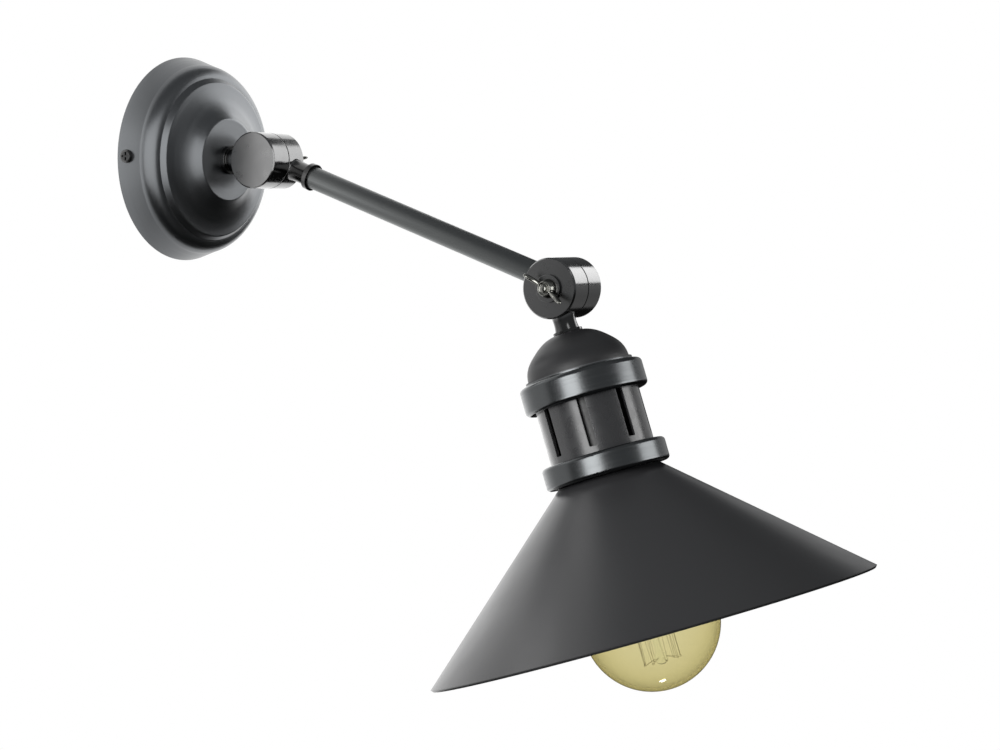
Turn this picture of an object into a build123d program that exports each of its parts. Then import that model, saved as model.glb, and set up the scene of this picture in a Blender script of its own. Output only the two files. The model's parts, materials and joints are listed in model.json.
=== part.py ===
from build123d import *
import os
from math import atan, cos, radians, sin, sqrt

os.makedirs("parts", exist_ok=True)

# Canopy: a spun steel cup that lies on the wall, sizes in millimetres
canopy_radius = 50.0
canopy_wall = 1.0
skirt_depth = 10.6
skirt_front_radius = 46.4
bead_inner_radius = 39.6
bead_depth = 17.4
bead_bulge = 1.6
step_radius = 37.5
step_depth = 19.5
cove_hollow = 1.3
canopy_corner_round = 1.0
disc_radius = 19.8
disc_depth = 26.8

# Wall bracket: a pressed strap with bent tabs and a shelf for the terminals
strap_thickness = 1.5
strap_width = 16.0
tab_width = 10.0
tab_depth = 8.0
tab_gap = 0.5
wall_slot_spacing = 60.0
wall_slot_length = 12.0
wall_slot_width = 4.5
cable_hole_radius = 6.0
shelf_width = 32.0
shelf_top = 32.0

# Small screws
side_screw_radius = 1.5
side_screw_depth = 4.6
side_head_radius = 3.2
side_head_height = 1.9
side_head_round = 1.1
side_recess_length = 4.0
side_screw_overrun = 1.5
screw_clearance = 0.2
thread_clearance = 0.05
recess_width = 0.8
recess_depth = 0.9
earth_screw_radius = 2.0
earth_head_radius = 4.0
earth_head_height = 2.6
earth_recess_length = 5.2
earth_washer_radius = 4.6
earth_washer_thickness = 0.6
earth_screw_x = -14.0

# Terminal block on the bracket's shelf
terminal_pitch = 8.5
terminal_pole_width = 7.5
terminal_depth = 14.0
terminal_height = 11.5
terminal_base_height = 4.0
terminal_corner = 1.0
terminal_bore_radius = 1.6
terminal_bore_height = 5.6
terminal_screw_radius = 1.5
terminal_screw_sink = 0.8
terminal_bottom_z = 14.0
fixing_screw_radius = 1.3
fixing_head_radius = 2.2
fixing_head_height = 1.4

# Knuckles: two cups side by side on one cross axis, with a washer between
pivot_reach = 45.6
knuckle_radius = 13.6
knuckle_width = 11.4
knuckle_end_wall = 2.4
knuckle_rim = 2.4
knuckle_edge = 0.6
boss_radius = 5.0
friction_washer = 0.6
friction_washer_inset = 0.3
neck_flare_radius = 5.5
neck_radius = 5.1
neck_length = 11.6
lower_neck_length = 3.0
neck_sink = 0.5
flange_radius = 6.6
flange_thickness = 2.4
canopy_flange_radius = 7.0
canopy_flange_share = 0.423
head_flange_thickness = 1.2
spigot_radius = 4.0
spigot_clearance = 0.2
lead_bore_radius = 2.6
arm_spigot_length = 10.0

# Nuts and washers on the hollow spigots
nut_flats = 13.0
nut_thickness = 3.0
lock_washer_radius = 7.5
lock_washer_thickness = 0.8
nut_overrun = 1.6

# Wing screws
wing_shank_radius = 2.5
wing_running_clearance = 0.05
wing_tip_gap = 0.4
wing_washer_radius = 6.2
wing_washer_thickness = 1.0
wing_hub_radius = 4.4
wing_hub_top_radius = 3.4
wing_hub_height = 3.8
wing_span = 22.8
wing_root_height = 1.3
wing_height = 5.8
wing_saddle_height = 3.0
wing_thickness = 2.0
wing_tip_round = 1.5
upper_wing_angle = 12.0
lower_wing_angle = -32.0

# Arm: a straight tube between the two cross axes, sloping down from the wall
arm_length = 177.0
arm_slope = 17.9
tube_radius = 5.4

# Head, measured down its own axis from the lower cross axis
head_tilt = 20.45
dome_top = 20.9
dome_radius = 23.0
dome_base = 38.0
dome_shoulder_across = 0.745
dome_shoulder_along = 0.333
dome_lip_radius = 24.2
dome_wall = 4.0
ring_top = 39.6
ring_height = 12.4
ring_radius = 27.8
ring_edge = 2.0
cap_hollow_radius = 21.3
cap_seat_radius = 9.5
sleeve_seat = 42.4
sleeve_radius = 23.3
sleeve_wall = 1.5
sleeve_clearance = 0.1
slot_count = 8
slot_width = 3.5
slot_length = 21.8
slot_corner = 0.6
slot_top_lap = 0.8
slot_phase = 22.3
collar_top = 75.9
collar_height = 10.1
collar_radius = 27.9
collar_edge = 1.6
shade_wall = 1.2
shade_shoulder_radius = 22.8
shade_rim_radius = 100.0
shade_height = 68.45
shade_hole_clearance = 0.6
shade_shoulder_round = 1.6

# Lampholder for a medium screw lamp
holder_radius = 19.5
holder_wall = 2.0
holder_boss_radius = 7.0
holder_boss_length = 8.0
holder_shoulder_drop = 5.0
holder_split = 58.0
holder_floor_top = 62.0
holder_floor_bottom = 68.0
holder_end = 98.0
shell_radius = 14.1
shell_wall = 0.6
shell_lip_radius = 9.0
shell_end_gap = 2.0
contact_radius = 3.5
contact_base_radius = 6.0
contact_base_height = 1.0
holder_terminal_radius = 10.0
holder_screw_radius = 1.5
holder_screw_head = 2.6
holder_screw_head_height = 1.8
holder_screw_length = 4.0
shade_ring_height = 4.8
shade_ring_radius = 23.4
shade_ring_top_radius = 21.4
shade_ring_clearance = 0.1

# Lamp
lamp_base_clearance = 0.32
lamp_tip = 73.8
lamp_tip_radius = 4.7
lamp_tip_height = 1.2
insulator_height = 2.2
insulator_radius = 10.5
lamp_base_length = 22.3
lamp_base_wall = 0.5
glass_wall = 0.8
glass_neck_radius = 12.3
glass_neck_sink = 5.0
glass_seal_thickness = 1.2
globe_radius = 30.2
globe_centre = 152.0
stem_flare_radius = 10.6
stem_rod_radius = 1.7
stem_flare_length = 13.0
cage_radius = 8.4
cage_top = 128.0
cage_bottom = 168.0
cage_hairpins = 8
cage_wire_radius = 0.28
anchor_wire_radius = 0.22
anchor_bead_radius = 3.0

# Leads: two insulated cores through the bores
core_radius = 1.05
core_spread = 1.25

# Frames: each turned piece is drawn as a half section, radius first, then distance along its axis


def section_plane(origin, axis, radial):
    axis = Vector(*axis)
    radial = Vector(*radial)
    return Plane(origin=origin, x_dir=radial, z_dir=radial.cross(axis))


arm_x = knuckle_width + friction_washer
near_face = -knuckle_width / 2
split_near = knuckle_width / 2
split_far = split_near + friction_washer
far_face = split_far + knuckle_width

arm_direction = (0.0, -cos(radians(arm_slope)), -sin(radians(arm_slope)))
head_direction = (0.0, -sin(radians(head_tilt)), -cos(radians(head_tilt)))
upper_pivot_y = -pivot_reach
lower_pivot_y = upper_pivot_y + arm_length * arm_direction[1]
lower_pivot_z = arm_length * arm_direction[2]

wall_axis = Axis((0, 0, 0), (0, -1, 0))
wall_section = section_plane((0, 0, 0), (0, -1, 0), (1, 0, 0))
upper_axis = Axis((0, upper_pivot_y, 0), (1, 0, 0))
upper_section = section_plane((0, upper_pivot_y, 0), (1, 0, 0), (0, -1, 0))
lower_axis = Axis((0, lower_pivot_y, lower_pivot_z), (1, 0, 0))
lower_section = section_plane((0, lower_pivot_y, lower_pivot_z), (1, 0, 0), (0, -1, 0))
arm_axis = Axis((arm_x, upper_pivot_y, 0), arm_direction)
arm_section = section_plane((arm_x, upper_pivot_y, 0), arm_direction, (1, 0, 0))
head_axis = Axis((0, lower_pivot_y, lower_pivot_z), head_direction)
head_section = section_plane((0, lower_pivot_y, lower_pivot_z), head_direction, (1, 0, 0))
head_cross = Plane(origin=(0, lower_pivot_y, lower_pivot_z), x_dir=(1, 0, 0), z_dir=head_direction)
arm_cross = Plane(origin=(arm_x, upper_pivot_y, 0), x_dir=(1, 0, 0), z_dir=arm_direction)
wall_cross = Plane(origin=(0, 0, 0), x_dir=(1, 0, 0), z_dir=(0, -1, 0))


def outline(plane, points):
    """A filled half section through the given corners."""
    with BuildSketch(plane) as section:
        with BuildLine():
            Polyline(*points, close=True)
        make_face()
    return section.sketch


def ring(plane, inner, outer, start, end):
    """The half section of a plain ring."""
    return outline(plane, [(inner, start), (outer, start), (outer, end), (inner, end)])


def circles_of(builder, *radii):
    """The round edges of a part that have one of the given radii."""
    round_edges = builder.edges().filter_by(GeomType.CIRCLE)
    return round_edges.filter_by(lambda edge: any(abs(edge.radius - radius) < 0.001 for radius in radii))


def cup(plane, face, split):
    """The half section of a knuckle cup, from its outer face to its open side."""
    toward_split = 1 if split > face else -1
    floor = face + toward_split * knuckle_end_wall
    edge = face + toward_split * knuckle_edge
    inner = knuckle_radius - knuckle_rim
    corners = [(0, face), (knuckle_radius - knuckle_edge, face), (knuckle_radius, edge)]
    corners += [(knuckle_radius, split), (inner, split), (inner, floor)]
    corners += [(boss_radius, floor), (boss_radius, split), (0, split)]
    return outline(plane, corners)


def spool_neck(plane, start, flange_start, flange_end, end_radius):
    """The half section of a waisted neck with a flange at its far end."""
    waist = start + (flange_start - start) * 2 / 3
    with BuildSketch(plane) as section:
        with BuildLine():
            Line((0, start), (neck_flare_radius, start))
            ThreePointArc(
                (neck_flare_radius, start), (neck_radius, waist), (neck_flare_radius, flange_start)
            )
            Line((neck_flare_radius, flange_start), (end_radius, flange_start))
            Line((end_radius, flange_start), (end_radius, flange_end))
            Line((end_radius, flange_end), (0, flange_end))
            Line((0, flange_end), (0, start))
        make_face()
    return section.sketch


def hexagon_nut(plane, start):
    """A hexagon on a cross plane, at a distance along its axis."""
    with BuildSketch(plane.offset(start)) as section:
        RegularPolygon(nut_flats / 2, 6, major_radius=False)
        Circle(spigot_radius + thread_clearance, mode=Mode.SUBTRACT)
    return section.sketch


def cross_recess(plane, length):
    """Two crossed slots for a screwdriver."""
    with BuildSketch(plane) as section:
        Rectangle(length, recess_width)
        Rectangle(recess_width, length)
    return section.sketch


def core_section(route):
    """The round section at the start of a core's route."""
    with BuildSketch(Plane(origin=route @ 0, z_dir=route % 0)) as section:
        Circle(core_radius)
    return section.sketch


# Canopy on the wall
skirt_taper = (canopy_radius - skirt_front_radius) / skirt_depth
skirt_angle = atan(skirt_taper)


def skirt_x(depth, inset):
    """The half width of the skirt at a depth from the wall, moved in by an inset."""
    return canopy_radius - skirt_taper * depth - inset / cos(skirt_angle)


side_screw_plane = Plane(
    origin=(skirt_x(side_screw_depth, 0), -side_screw_depth, 0),
    x_dir=(0, 0, 1),
    z_dir=(cos(skirt_angle), -sin(skirt_angle), 0),
)
side_screw_reach = canopy_wall + tab_gap + strap_thickness + side_screw_overrun

with BuildPart() as canopy:
    with BuildSketch(wall_section):
        with BuildLine() as canopy_line:
            skirt = Line((canopy_radius, 0), (skirt_front_radius, skirt_depth))
            bead = SagittaArc(skirt @ 1, (bead_inner_radius, bead_depth), -bead_bulge)
            riser = Line(bead @ 1, (step_radius, step_depth))
            cove = SagittaArc(riser @ 1, (disc_radius, disc_depth), cove_hollow)
            Line(cove @ 1, (spigot_radius + spigot_clearance, disc_depth))
            offset(amount=canopy_wall, side=Side.LEFT)
        make_face()
    revolve(axis=wall_axis)
    split(bisect_by=Plane.XZ, keep=Keep.TOP)
    fillet(circles_of(canopy, step_radius, disc_radius), canopy_corner_round)
    with BuildSketch(side_screw_plane) as side_hole:
        Circle(side_screw_radius + screw_clearance)
    side_bore = extrude(amount=2 * canopy_wall, both=True, mode=Mode.SUBTRACT)
    mirror(side_bore, about=Plane.YZ, mode=Mode.SUBTRACT)
canopy.part.label = "canopy"
export_step(canopy.part, "parts/canopy.step")

# Wall bracket, with slots for the wall screws and a tab at each end
tab_near = canopy_wall + tab_gap
tab_far = tab_near + strap_thickness
strap_half_length = sqrt(skirt_x(strap_thickness, tab_near) ** 2 - (strap_width / 2) ** 2)
with BuildPart() as wall_bracket:
    with BuildSketch(wall_cross):
        Rectangle(2 * strap_half_length, strap_width)
        with Locations((0, shelf_top / 2)):
            Rectangle(shelf_width, shelf_top)
        with GridLocations(wall_slot_spacing, 0, 2, 1):
            SlotOverall(wall_slot_length, wall_slot_width, mode=Mode.SUBTRACT)
        Circle(cable_hole_radius, mode=Mode.SUBTRACT)
        with Locations((earth_screw_x, 0)):
            Circle(earth_screw_radius + thread_clearance, mode=Mode.SUBTRACT)
        with Locations((terminal_pitch / 2, terminal_bottom_z + terminal_depth / 2)):
            Circle(fixing_screw_radius + thread_clearance, mode=Mode.SUBTRACT)
    extrude(amount=strap_thickness)
    with BuildSketch(Plane.XY):
        with BuildLine():
            Polyline(
                (skirt_x(0, tab_far), 0),
                (skirt_x(0, tab_near), 0),
                (skirt_x(tab_depth, tab_near), -tab_depth),
                (skirt_x(tab_depth, tab_far), -tab_depth),
                close=True,
            )
        make_face()
        mirror(about=Plane.YZ)
    extrude(amount=tab_width / 2, both=True)
    with BuildSketch(side_screw_plane):
        Circle(side_screw_radius + thread_clearance)
    tab_bore = extrude(amount=-side_screw_reach, mode=Mode.SUBTRACT)
    mirror(tab_bore, about=Plane.YZ, mode=Mode.SUBTRACT)
wall_bracket.part.label = "wall_bracket"
export_step(wall_bracket.part, "parts/wall_bracket.step")

# Side screws that hold the canopy to the bracket's tabs
with BuildPart() as canopy_side_screws:
    with BuildSketch(side_screw_plane):
        Circle(side_head_radius)
    extrude(amount=side_head_height)
    fillet(canopy_side_screws.edges().filter_by(GeomType.CIRCLE).sort_by(Axis.X)[-1], side_head_round)
    with BuildSketch(side_screw_plane):
        Circle(side_screw_radius)
    extrude(amount=-side_screw_reach)
    extrude(
        cross_recess(side_screw_plane.offset(side_head_height), side_recess_length),
        amount=-recess_depth,
        mode=Mode.SUBTRACT,
    )
    mirror(about=Plane.YZ)
canopy_side_screws.part.label = "canopy_side_screws"
export_step(canopy_side_screws.part, "parts/canopy_side_screws.step")

# Earth screw and its washer on the strap
earth_seat = strap_thickness + earth_washer_thickness
with BuildPart() as earth_washer:
    with BuildSketch(wall_cross.offset(strap_thickness)):
        with Locations((earth_screw_x, 0)):
            Circle(earth_washer_radius)
            Circle(earth_screw_radius + screw_clearance, mode=Mode.SUBTRACT)
    extrude(amount=earth_washer_thickness)
earth_washer.part.label = "earth_washer"
export_step(earth_washer.part, "parts/earth_washer.step")

with BuildPart() as earth_screw:
    with BuildSketch(wall_cross):
        with Locations((earth_screw_x, 0)):
            Circle(earth_screw_radius)
    extrude(amount=earth_seat)
    with BuildSketch(wall_cross.offset(earth_seat)):
        with Locations((earth_screw_x, 0)):
            Circle(earth_head_radius)
    extrude(amount=earth_head_height)
    with BuildSketch(wall_cross.offset(earth_seat + earth_head_height)):
        with Locations((earth_screw_x, 0)):
            Rectangle(earth_recess_length, recess_width)
            Rectangle(recess_width, earth_recess_length)
    extrude(amount=-recess_depth, mode=Mode.SUBTRACT)
earth_screw.part.label = "earth_screw"
export_step(earth_screw.part, "parts/earth_screw.step")

# Terminal block, three poles on one base
terminal_middle = terminal_bottom_z + terminal_depth / 2
terminal_length = 2 * terminal_pitch + terminal_pole_width
terminal_top = strap_thickness + terminal_height
with BuildPart() as terminal_block:
    with BuildSketch(wall_cross.offset(strap_thickness)):
        with Locations((0, terminal_middle)):
            RectangleRounded(terminal_length, terminal_depth, terminal_corner)
    extrude(amount=terminal_base_height)
    with BuildSketch(wall_cross.offset(strap_thickness)):
        with Locations((0, terminal_middle)):
            with GridLocations(terminal_pitch, 0, 3, 1):
                RectangleRounded(terminal_pole_width, terminal_depth, terminal_corner)
    extrude(amount=terminal_height)
    with BuildSketch(Plane.XY.offset(terminal_bottom_z)):
        with Locations((0, -strap_thickness - terminal_bore_height)):
            with GridLocations(terminal_pitch, 0, 3, 1):
                Circle(terminal_bore_radius)
    extrude(amount=terminal_depth, mode=Mode.SUBTRACT)
    with BuildSketch(wall_cross.offset(terminal_top)):
        with Locations((0, terminal_middle)):
            with GridLocations(terminal_pitch, terminal_depth / 2, 3, 2):
                Circle(terminal_screw_radius + thread_clearance)
    extrude(amount=terminal_bore_height - terminal_height, mode=Mode.SUBTRACT)
    with BuildSketch(wall_cross.offset(strap_thickness)):
        with Locations((terminal_pitch / 2, terminal_middle)):
            Circle(fixing_screw_radius + screw_clearance)
    extrude(amount=terminal_height, mode=Mode.SUBTRACT)
    with BuildSketch(wall_cross.offset(strap_thickness + terminal_base_height)):
        with Locations((terminal_pitch / 2, terminal_middle)):
            Circle(fixing_head_radius + screw_clearance)
    extrude(amount=terminal_height, mode=Mode.SUBTRACT)
terminal_block.part.label = "terminal_block"
export_step(terminal_block.part, "parts/terminal_block.step")

with BuildPart() as terminal_screws:
    with BuildSketch(wall_cross.offset(terminal_top - terminal_screw_sink)):
        with Locations((0, terminal_middle)):
            with GridLocations(terminal_pitch, terminal_depth / 2, 3, 2):
                Circle(terminal_screw_radius)
                Rectangle(2 * terminal_screw_radius, recess_width, mode=Mode.SUBTRACT)
    extrude(amount=-recess_depth)
    with BuildSketch(wall_cross.offset(terminal_top - terminal_screw_sink - recess_depth)):
        with Locations((0, terminal_middle)):
            with GridLocations(terminal_pitch, terminal_depth / 2, 3, 2):
                Circle(terminal_screw_radius)
    extrude(amount=terminal_bore_height + core_radius + strap_thickness - terminal_top
            + terminal_screw_sink + recess_depth)
terminal_screws.part.label = "terminal_screws"
export_step(terminal_screws.part, "parts/terminal_screws.step")

with BuildPart() as terminal_fixing_screw:
    with BuildSketch(wall_cross):
        with Locations((terminal_pitch / 2, terminal_middle)):
            Circle(fixing_screw_radius)
    extrude(amount=strap_thickness + terminal_base_height)
    with BuildSketch(wall_cross.offset(strap_thickness + terminal_base_height)):
        with Locations((terminal_pitch / 2, terminal_middle)):
            Circle(fixing_head_radius)
    extrude(amount=fixing_head_height)
    with BuildSketch(wall_cross.offset(strap_thickness + terminal_base_height + fixing_head_height)):
        with Locations((terminal_pitch / 2, terminal_middle)):
            Rectangle(2 * fixing_head_radius, recess_width)
    extrude(amount=-recess_depth, mode=Mode.SUBTRACT)
terminal_fixing_screw.part.label = "terminal_fixing_screw"
export_step(terminal_fixing_screw.part, "parts/terminal_fixing_screw.step")

# Upper knuckle, wall side: cup, short flanged neck and threaded spigot through the canopy
chamber_radius = knuckle_radius - knuckle_rim
lead_bore_start = (chamber_radius + boss_radius) / 2
neck_root = sqrt(knuckle_radius**2 - neck_flare_radius**2) - neck_sink
lock_nut_start = disc_depth - canopy_wall - lock_washer_thickness - nut_thickness
spigot_start = lock_nut_start - nut_overrun
canopy_neck_room = pivot_reach - knuckle_radius - disc_depth
canopy_flange_end = disc_depth + canopy_flange_share * canopy_neck_room
with BuildPart() as upper_knuckle_base:
    revolve(cup(upper_section, near_face, split_near), axis=upper_axis)
    revolve(
        outline(wall_section, [
            (0, spigot_start),
            (spigot_radius, spigot_start),
            (spigot_radius, disc_depth),
            (canopy_flange_radius, disc_depth),
            (canopy_flange_radius, canopy_flange_end),
            (neck_flare_radius, canopy_flange_end),
            (neck_flare_radius, pivot_reach - neck_root),
            (0, pivot_reach - neck_root),
        ]),
        axis=wall_axis,
    )
    revolve(
        ring(wall_section, 0, lead_bore_radius, spigot_start, pivot_reach - lead_bore_start),
        axis=wall_axis,
        mode=Mode.SUBTRACT,
    )
    revolve(
        ring(upper_section, 0, wing_shank_radius + wing_running_clearance,
             near_face + knuckle_end_wall, split_near),
        axis=upper_axis,
        mode=Mode.SUBTRACT,
    )
upper_knuckle_base.part.label = "upper_knuckle_base"
export_step(upper_knuckle_base.part, "parts/upper_knuckle_base.step")

# Lock washer and nut on the spigot, inside the canopy
with BuildPart() as canopy_lock_washer:
    revolve(
        ring(wall_section, spigot_radius + spigot_clearance, lock_washer_radius,
             lock_nut_start + nut_thickness, disc_depth - canopy_wall),
        axis=wall_axis,
    )
canopy_lock_washer.part.label = "canopy_lock_washer"
export_step(canopy_lock_washer.part, "parts/canopy_lock_washer.step")

with BuildPart() as canopy_lock_nut:
    extrude(hexagon_nut(wall_cross, lock_nut_start), amount=nut_thickness)
canopy_lock_nut.part.label = "canopy_lock_nut"
export_step(canopy_lock_nut.part, "parts/canopy_lock_nut.step")

# Friction washers between the two cups of each knuckle
washer_outer = knuckle_radius - friction_washer_inset
washer_inner = chamber_radius + friction_washer_inset
with BuildPart() as upper_friction_washer:
    revolve(ring(upper_section, washer_inner, washer_outer, split_near, split_far), axis=upper_axis)
upper_friction_washer.part.label = "upper_friction_washer"
export_step(upper_friction_washer.part, "parts/upper_friction_washer.step")

with BuildPart() as lower_friction_washer:
    revolve(ring(lower_section, washer_inner, washer_outer, split_near, split_far), axis=lower_axis)
lower_friction_washer.part.label = "lower_friction_washer"
export_step(lower_friction_washer.part, "parts/lower_friction_washer.step")

# Upper knuckle, arm side: cup with a waisted neck whose spigot screws into the tube
neck_end = knuckle_radius + neck_length
flange_start = neck_end - flange_thickness
with BuildPart() as upper_knuckle_arm:
    revolve(cup(upper_section, far_face, split_far), axis=upper_axis)
    revolve(spool_neck(arm_section, neck_root, flange_start, neck_end, flange_radius), axis=arm_axis)
    revolve(ring(arm_section, 0, spigot_radius, neck_end, neck_end + arm_spigot_length), axis=arm_axis)
    revolve(
        ring(arm_section, 0, lead_bore_radius, lead_bore_start, neck_end + arm_spigot_length),
        axis=arm_axis,
        mode=Mode.SUBTRACT,
    )
    revolve(
        ring(upper_section, 0, wing_shank_radius + wing_running_clearance, split_far, far_face),
        axis=upper_axis,
        mode=Mode.SUBTRACT,
    )
upper_knuckle_arm.part.label = "upper_knuckle_arm"
export_step(upper_knuckle_arm.part, "parts/upper_knuckle_arm.step")

# Arm tube between the two necks
lower_neck_end = knuckle_radius + lower_neck_length
lower_flange_start = lower_neck_end - flange_thickness
with BuildPart() as arm_tube:
    revolve(
        ring(arm_section, spigot_radius + thread_clearance, tube_radius,
             neck_end, arm_length - lower_neck_end),
        axis=arm_axis,
    )
arm_tube.part.label = "arm_tube"
export_step(arm_tube.part, "parts/arm_tube.step")

# Lower knuckle, arm side: the same cup, with its flange close to it and facing back up the arm
lower_neck_section = section_plane(
    (arm_x, lower_pivot_y, lower_pivot_z), tuple(-value for value in arm_direction), (1, 0, 0)
)
lower_spigot_end = lower_neck_end + arm_spigot_length
with BuildPart() as lower_knuckle_arm:
    revolve(cup(lower_section, far_face, split_far), axis=lower_axis)
    revolve(ring(lower_neck_section, 0, neck_flare_radius, neck_root, lower_flange_start), axis=arm_axis)
    revolve(ring(lower_neck_section, 0, flange_radius, lower_flange_start, lower_neck_end), axis=arm_axis)
    revolve(ring(lower_neck_section, 0, spigot_radius, lower_neck_end, lower_spigot_end), axis=arm_axis)
    revolve(
        ring(lower_neck_section, 0, lead_bore_radius, lead_bore_start, lower_spigot_end),
        axis=arm_axis,
        mode=Mode.SUBTRACT,
    )
    revolve(
        ring(lower_section, 0, wing_shank_radius + wing_running_clearance,
             split_far, far_face - knuckle_end_wall),
        axis=lower_axis,
        mode=Mode.SUBTRACT,
    )
lower_knuckle_arm.part.label = "lower_knuckle_arm"
export_step(lower_knuckle_arm.part, "parts/lower_knuckle_arm.step")

# Lower knuckle, head side: cup, waisted neck and threaded spigot into the cap
cap_seat = dome_top + dome_wall
cap_nut_start = cap_seat + lock_washer_thickness
holder_top = cap_nut_start + nut_thickness
head_spigot_end = holder_top + holder_boss_length
with BuildPart() as lower_knuckle_head:
    revolve(cup(lower_section, near_face, split_near), axis=lower_axis)
    revolve(
        spool_neck(head_section, neck_root, dome_top - head_flange_thickness, dome_top, flange_radius),
        axis=head_axis,
    )
    revolve(ring(head_section, 0, spigot_radius, dome_top, head_spigot_end), axis=head_axis)
    revolve(
        ring(head_section, 0, lead_bore_radius, lead_bore_start, head_spigot_end),
        axis=head_axis,
        mode=Mode.SUBTRACT,
    )
    revolve(
        ring(lower_section, 0, wing_shank_radius + wing_running_clearance, near_face, split_near),
        axis=lower_axis,
        mode=Mode.SUBTRACT,
    )
lower_knuckle_head.part.label = "lower_knuckle_head"
export_step(lower_knuckle_head.part, "parts/lower_knuckle_head.step")


# Wing screws: a shank, a tapered hub and two flat wings
def wing_plane(pivot_y, pivot_z, face, outward, angle):
    """A plane on a knuckle's face, normal outward, with the wings along its x direction."""
    along = (0, -cos(radians(angle)), sin(radians(angle)))
    return Plane(origin=(face, pivot_y, pivot_z), x_dir=along, z_dir=(outward, 0, 0))


def wing_blade(plane):
    """Both wings as one flat outline that stands on the hub, seen along its thickness."""
    side = Plane(origin=plane.origin, x_dir=plane.x_dir, z_dir=plane.x_dir.cross(plane.z_dir))
    base = wing_washer_thickness + wing_root_height
    top = wing_washer_thickness + wing_height
    middle = wing_washer_thickness + wing_saddle_height
    half = wing_span / 2
    with BuildSketch(side) as section:
        with BuildLine():
            Polyline(
                (0, base), (wing_hub_radius, base), (half, (base + top) / 2), (half, top),
                (half / 2, top), (0, middle), (-half / 2, top), (-half, top),
                (-half, (base + top) / 2), (-wing_hub_radius, base), close=True,
            )
        make_face()
        fillet(section.vertices().group_by(Axis.Y)[-1], wing_tip_round)
    return section.sketch


def wing_body(plane, shank_length):
    """The turned half section of a wing screw: shank and hub."""
    with BuildSketch(Plane(origin=plane.origin, x_dir=plane.x_dir,
                           z_dir=plane.x_dir.cross(plane.z_dir))) as section:
        with BuildLine():
            Polyline(
                (0, -shank_length), (wing_shank_radius, -shank_length),
                (wing_shank_radius, wing_washer_thickness), (wing_hub_radius, wing_washer_thickness),
                (wing_hub_top_radius, wing_washer_thickness + wing_hub_height),
                (0, wing_washer_thickness + wing_hub_height), close=True,
            )
        make_face()
    return section.sketch


wing_shank_length = far_face - (near_face + knuckle_end_wall + wing_tip_gap)
upper_wing_plane = wing_plane(upper_pivot_y, 0, far_face, 1, upper_wing_angle)
lower_wing_plane = wing_plane(lower_pivot_y, lower_pivot_z, near_face, -1, lower_wing_angle)

with BuildPart() as upper_wing_screw:
    revolve(wing_body(upper_wing_plane, wing_shank_length), axis=upper_axis)
    extrude(wing_blade(upper_wing_plane), amount=wing_thickness / 2, both=True)
upper_wing_screw.part.label = "upper_wing_screw"
export_step(upper_wing_screw.part, "parts/upper_wing_screw.step")

with BuildPart() as lower_wing_screw:
    revolve(wing_body(lower_wing_plane, wing_shank_length), axis=lower_axis)
    extrude(wing_blade(lower_wing_plane), amount=wing_thickness / 2, both=True)
lower_wing_screw.part.label = "lower_wing_screw"
export_step(lower_wing_screw.part, "parts/lower_wing_screw.step")

wing_hole = wing_shank_radius + screw_clearance
with BuildPart() as upper_wing_washer:
    revolve(
        ring(upper_section, wing_hole, wing_washer_radius, far_face, far_face + wing_washer_thickness),
        axis=upper_axis,
    )
upper_wing_washer.part.label = "upper_wing_washer"
export_step(upper_wing_washer.part, "parts/upper_wing_washer.step")

with BuildPart() as lower_wing_washer:
    revolve(
        ring(lower_section, wing_hole, wing_washer_radius, near_face - wing_washer_thickness, near_face),
        axis=lower_axis,
    )
lower_wing_washer.part.label = "lower_wing_washer"
export_step(lower_wing_washer.part, "parts/lower_wing_washer.step")

# Socket cap: dome and band turned in one piece
ring_bottom = ring_top + ring_height
sleeve_bore = sleeve_radius + sleeve_clearance
dome_shoulder = dome_radius * dome_shoulder_across
dome_shoulder_drop = dome_top + (dome_base - dome_top) * dome_shoulder_along
with BuildPart() as socket_cap:
    with BuildSketch(head_section):
        with BuildLine():
            Line((spigot_radius + spigot_clearance, dome_top), (flange_radius, dome_top))
            dome = Spline(
                (flange_radius, dome_top),
                (dome_shoulder, dome_shoulder_drop),
                (dome_radius, dome_base),
                tangents=((1, 0.15), (0, 1)),
            )
            Polyline(
                dome @ 1,
                (dome_lip_radius, dome_base),
                (dome_lip_radius, ring_top),
                (ring_radius, ring_top),
                (ring_radius, ring_bottom),
                (sleeve_bore, ring_bottom),
                (sleeve_bore, sleeve_seat),
                (cap_hollow_radius, sleeve_seat),
                (cap_hollow_radius, dome_base),
            )
            SagittaArc((cap_hollow_radius, dome_base), (cap_seat_radius, cap_seat), -dome_wall)
            Line((cap_seat_radius, cap_seat), (spigot_radius + spigot_clearance, cap_seat))
            Line((spigot_radius + spigot_clearance, cap_seat), (spigot_radius + spigot_clearance, dome_top))
        make_face()
    revolve(axis=head_axis)
    fillet(circles_of(socket_cap, ring_radius), ring_edge)
socket_cap.part.label = "socket_cap"
export_step(socket_cap.part, "parts/socket_cap.step")

with BuildPart() as cap_lock_washer:
    revolve(
        ring(head_section, spigot_radius + spigot_clearance, lock_washer_radius, cap_seat, cap_nut_start),
        axis=head_axis,
    )
cap_lock_washer.part.label = "cap_lock_washer"
export_step(cap_lock_washer.part, "parts/cap_lock_washer.step")

with BuildPart() as cap_lock_nut:
    extrude(hexagon_nut(head_cross, cap_nut_start), amount=nut_thickness)
cap_lock_nut.part.label = "cap_lock_nut"
export_step(cap_lock_nut.part, "parts/cap_lock_nut.step")

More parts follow.
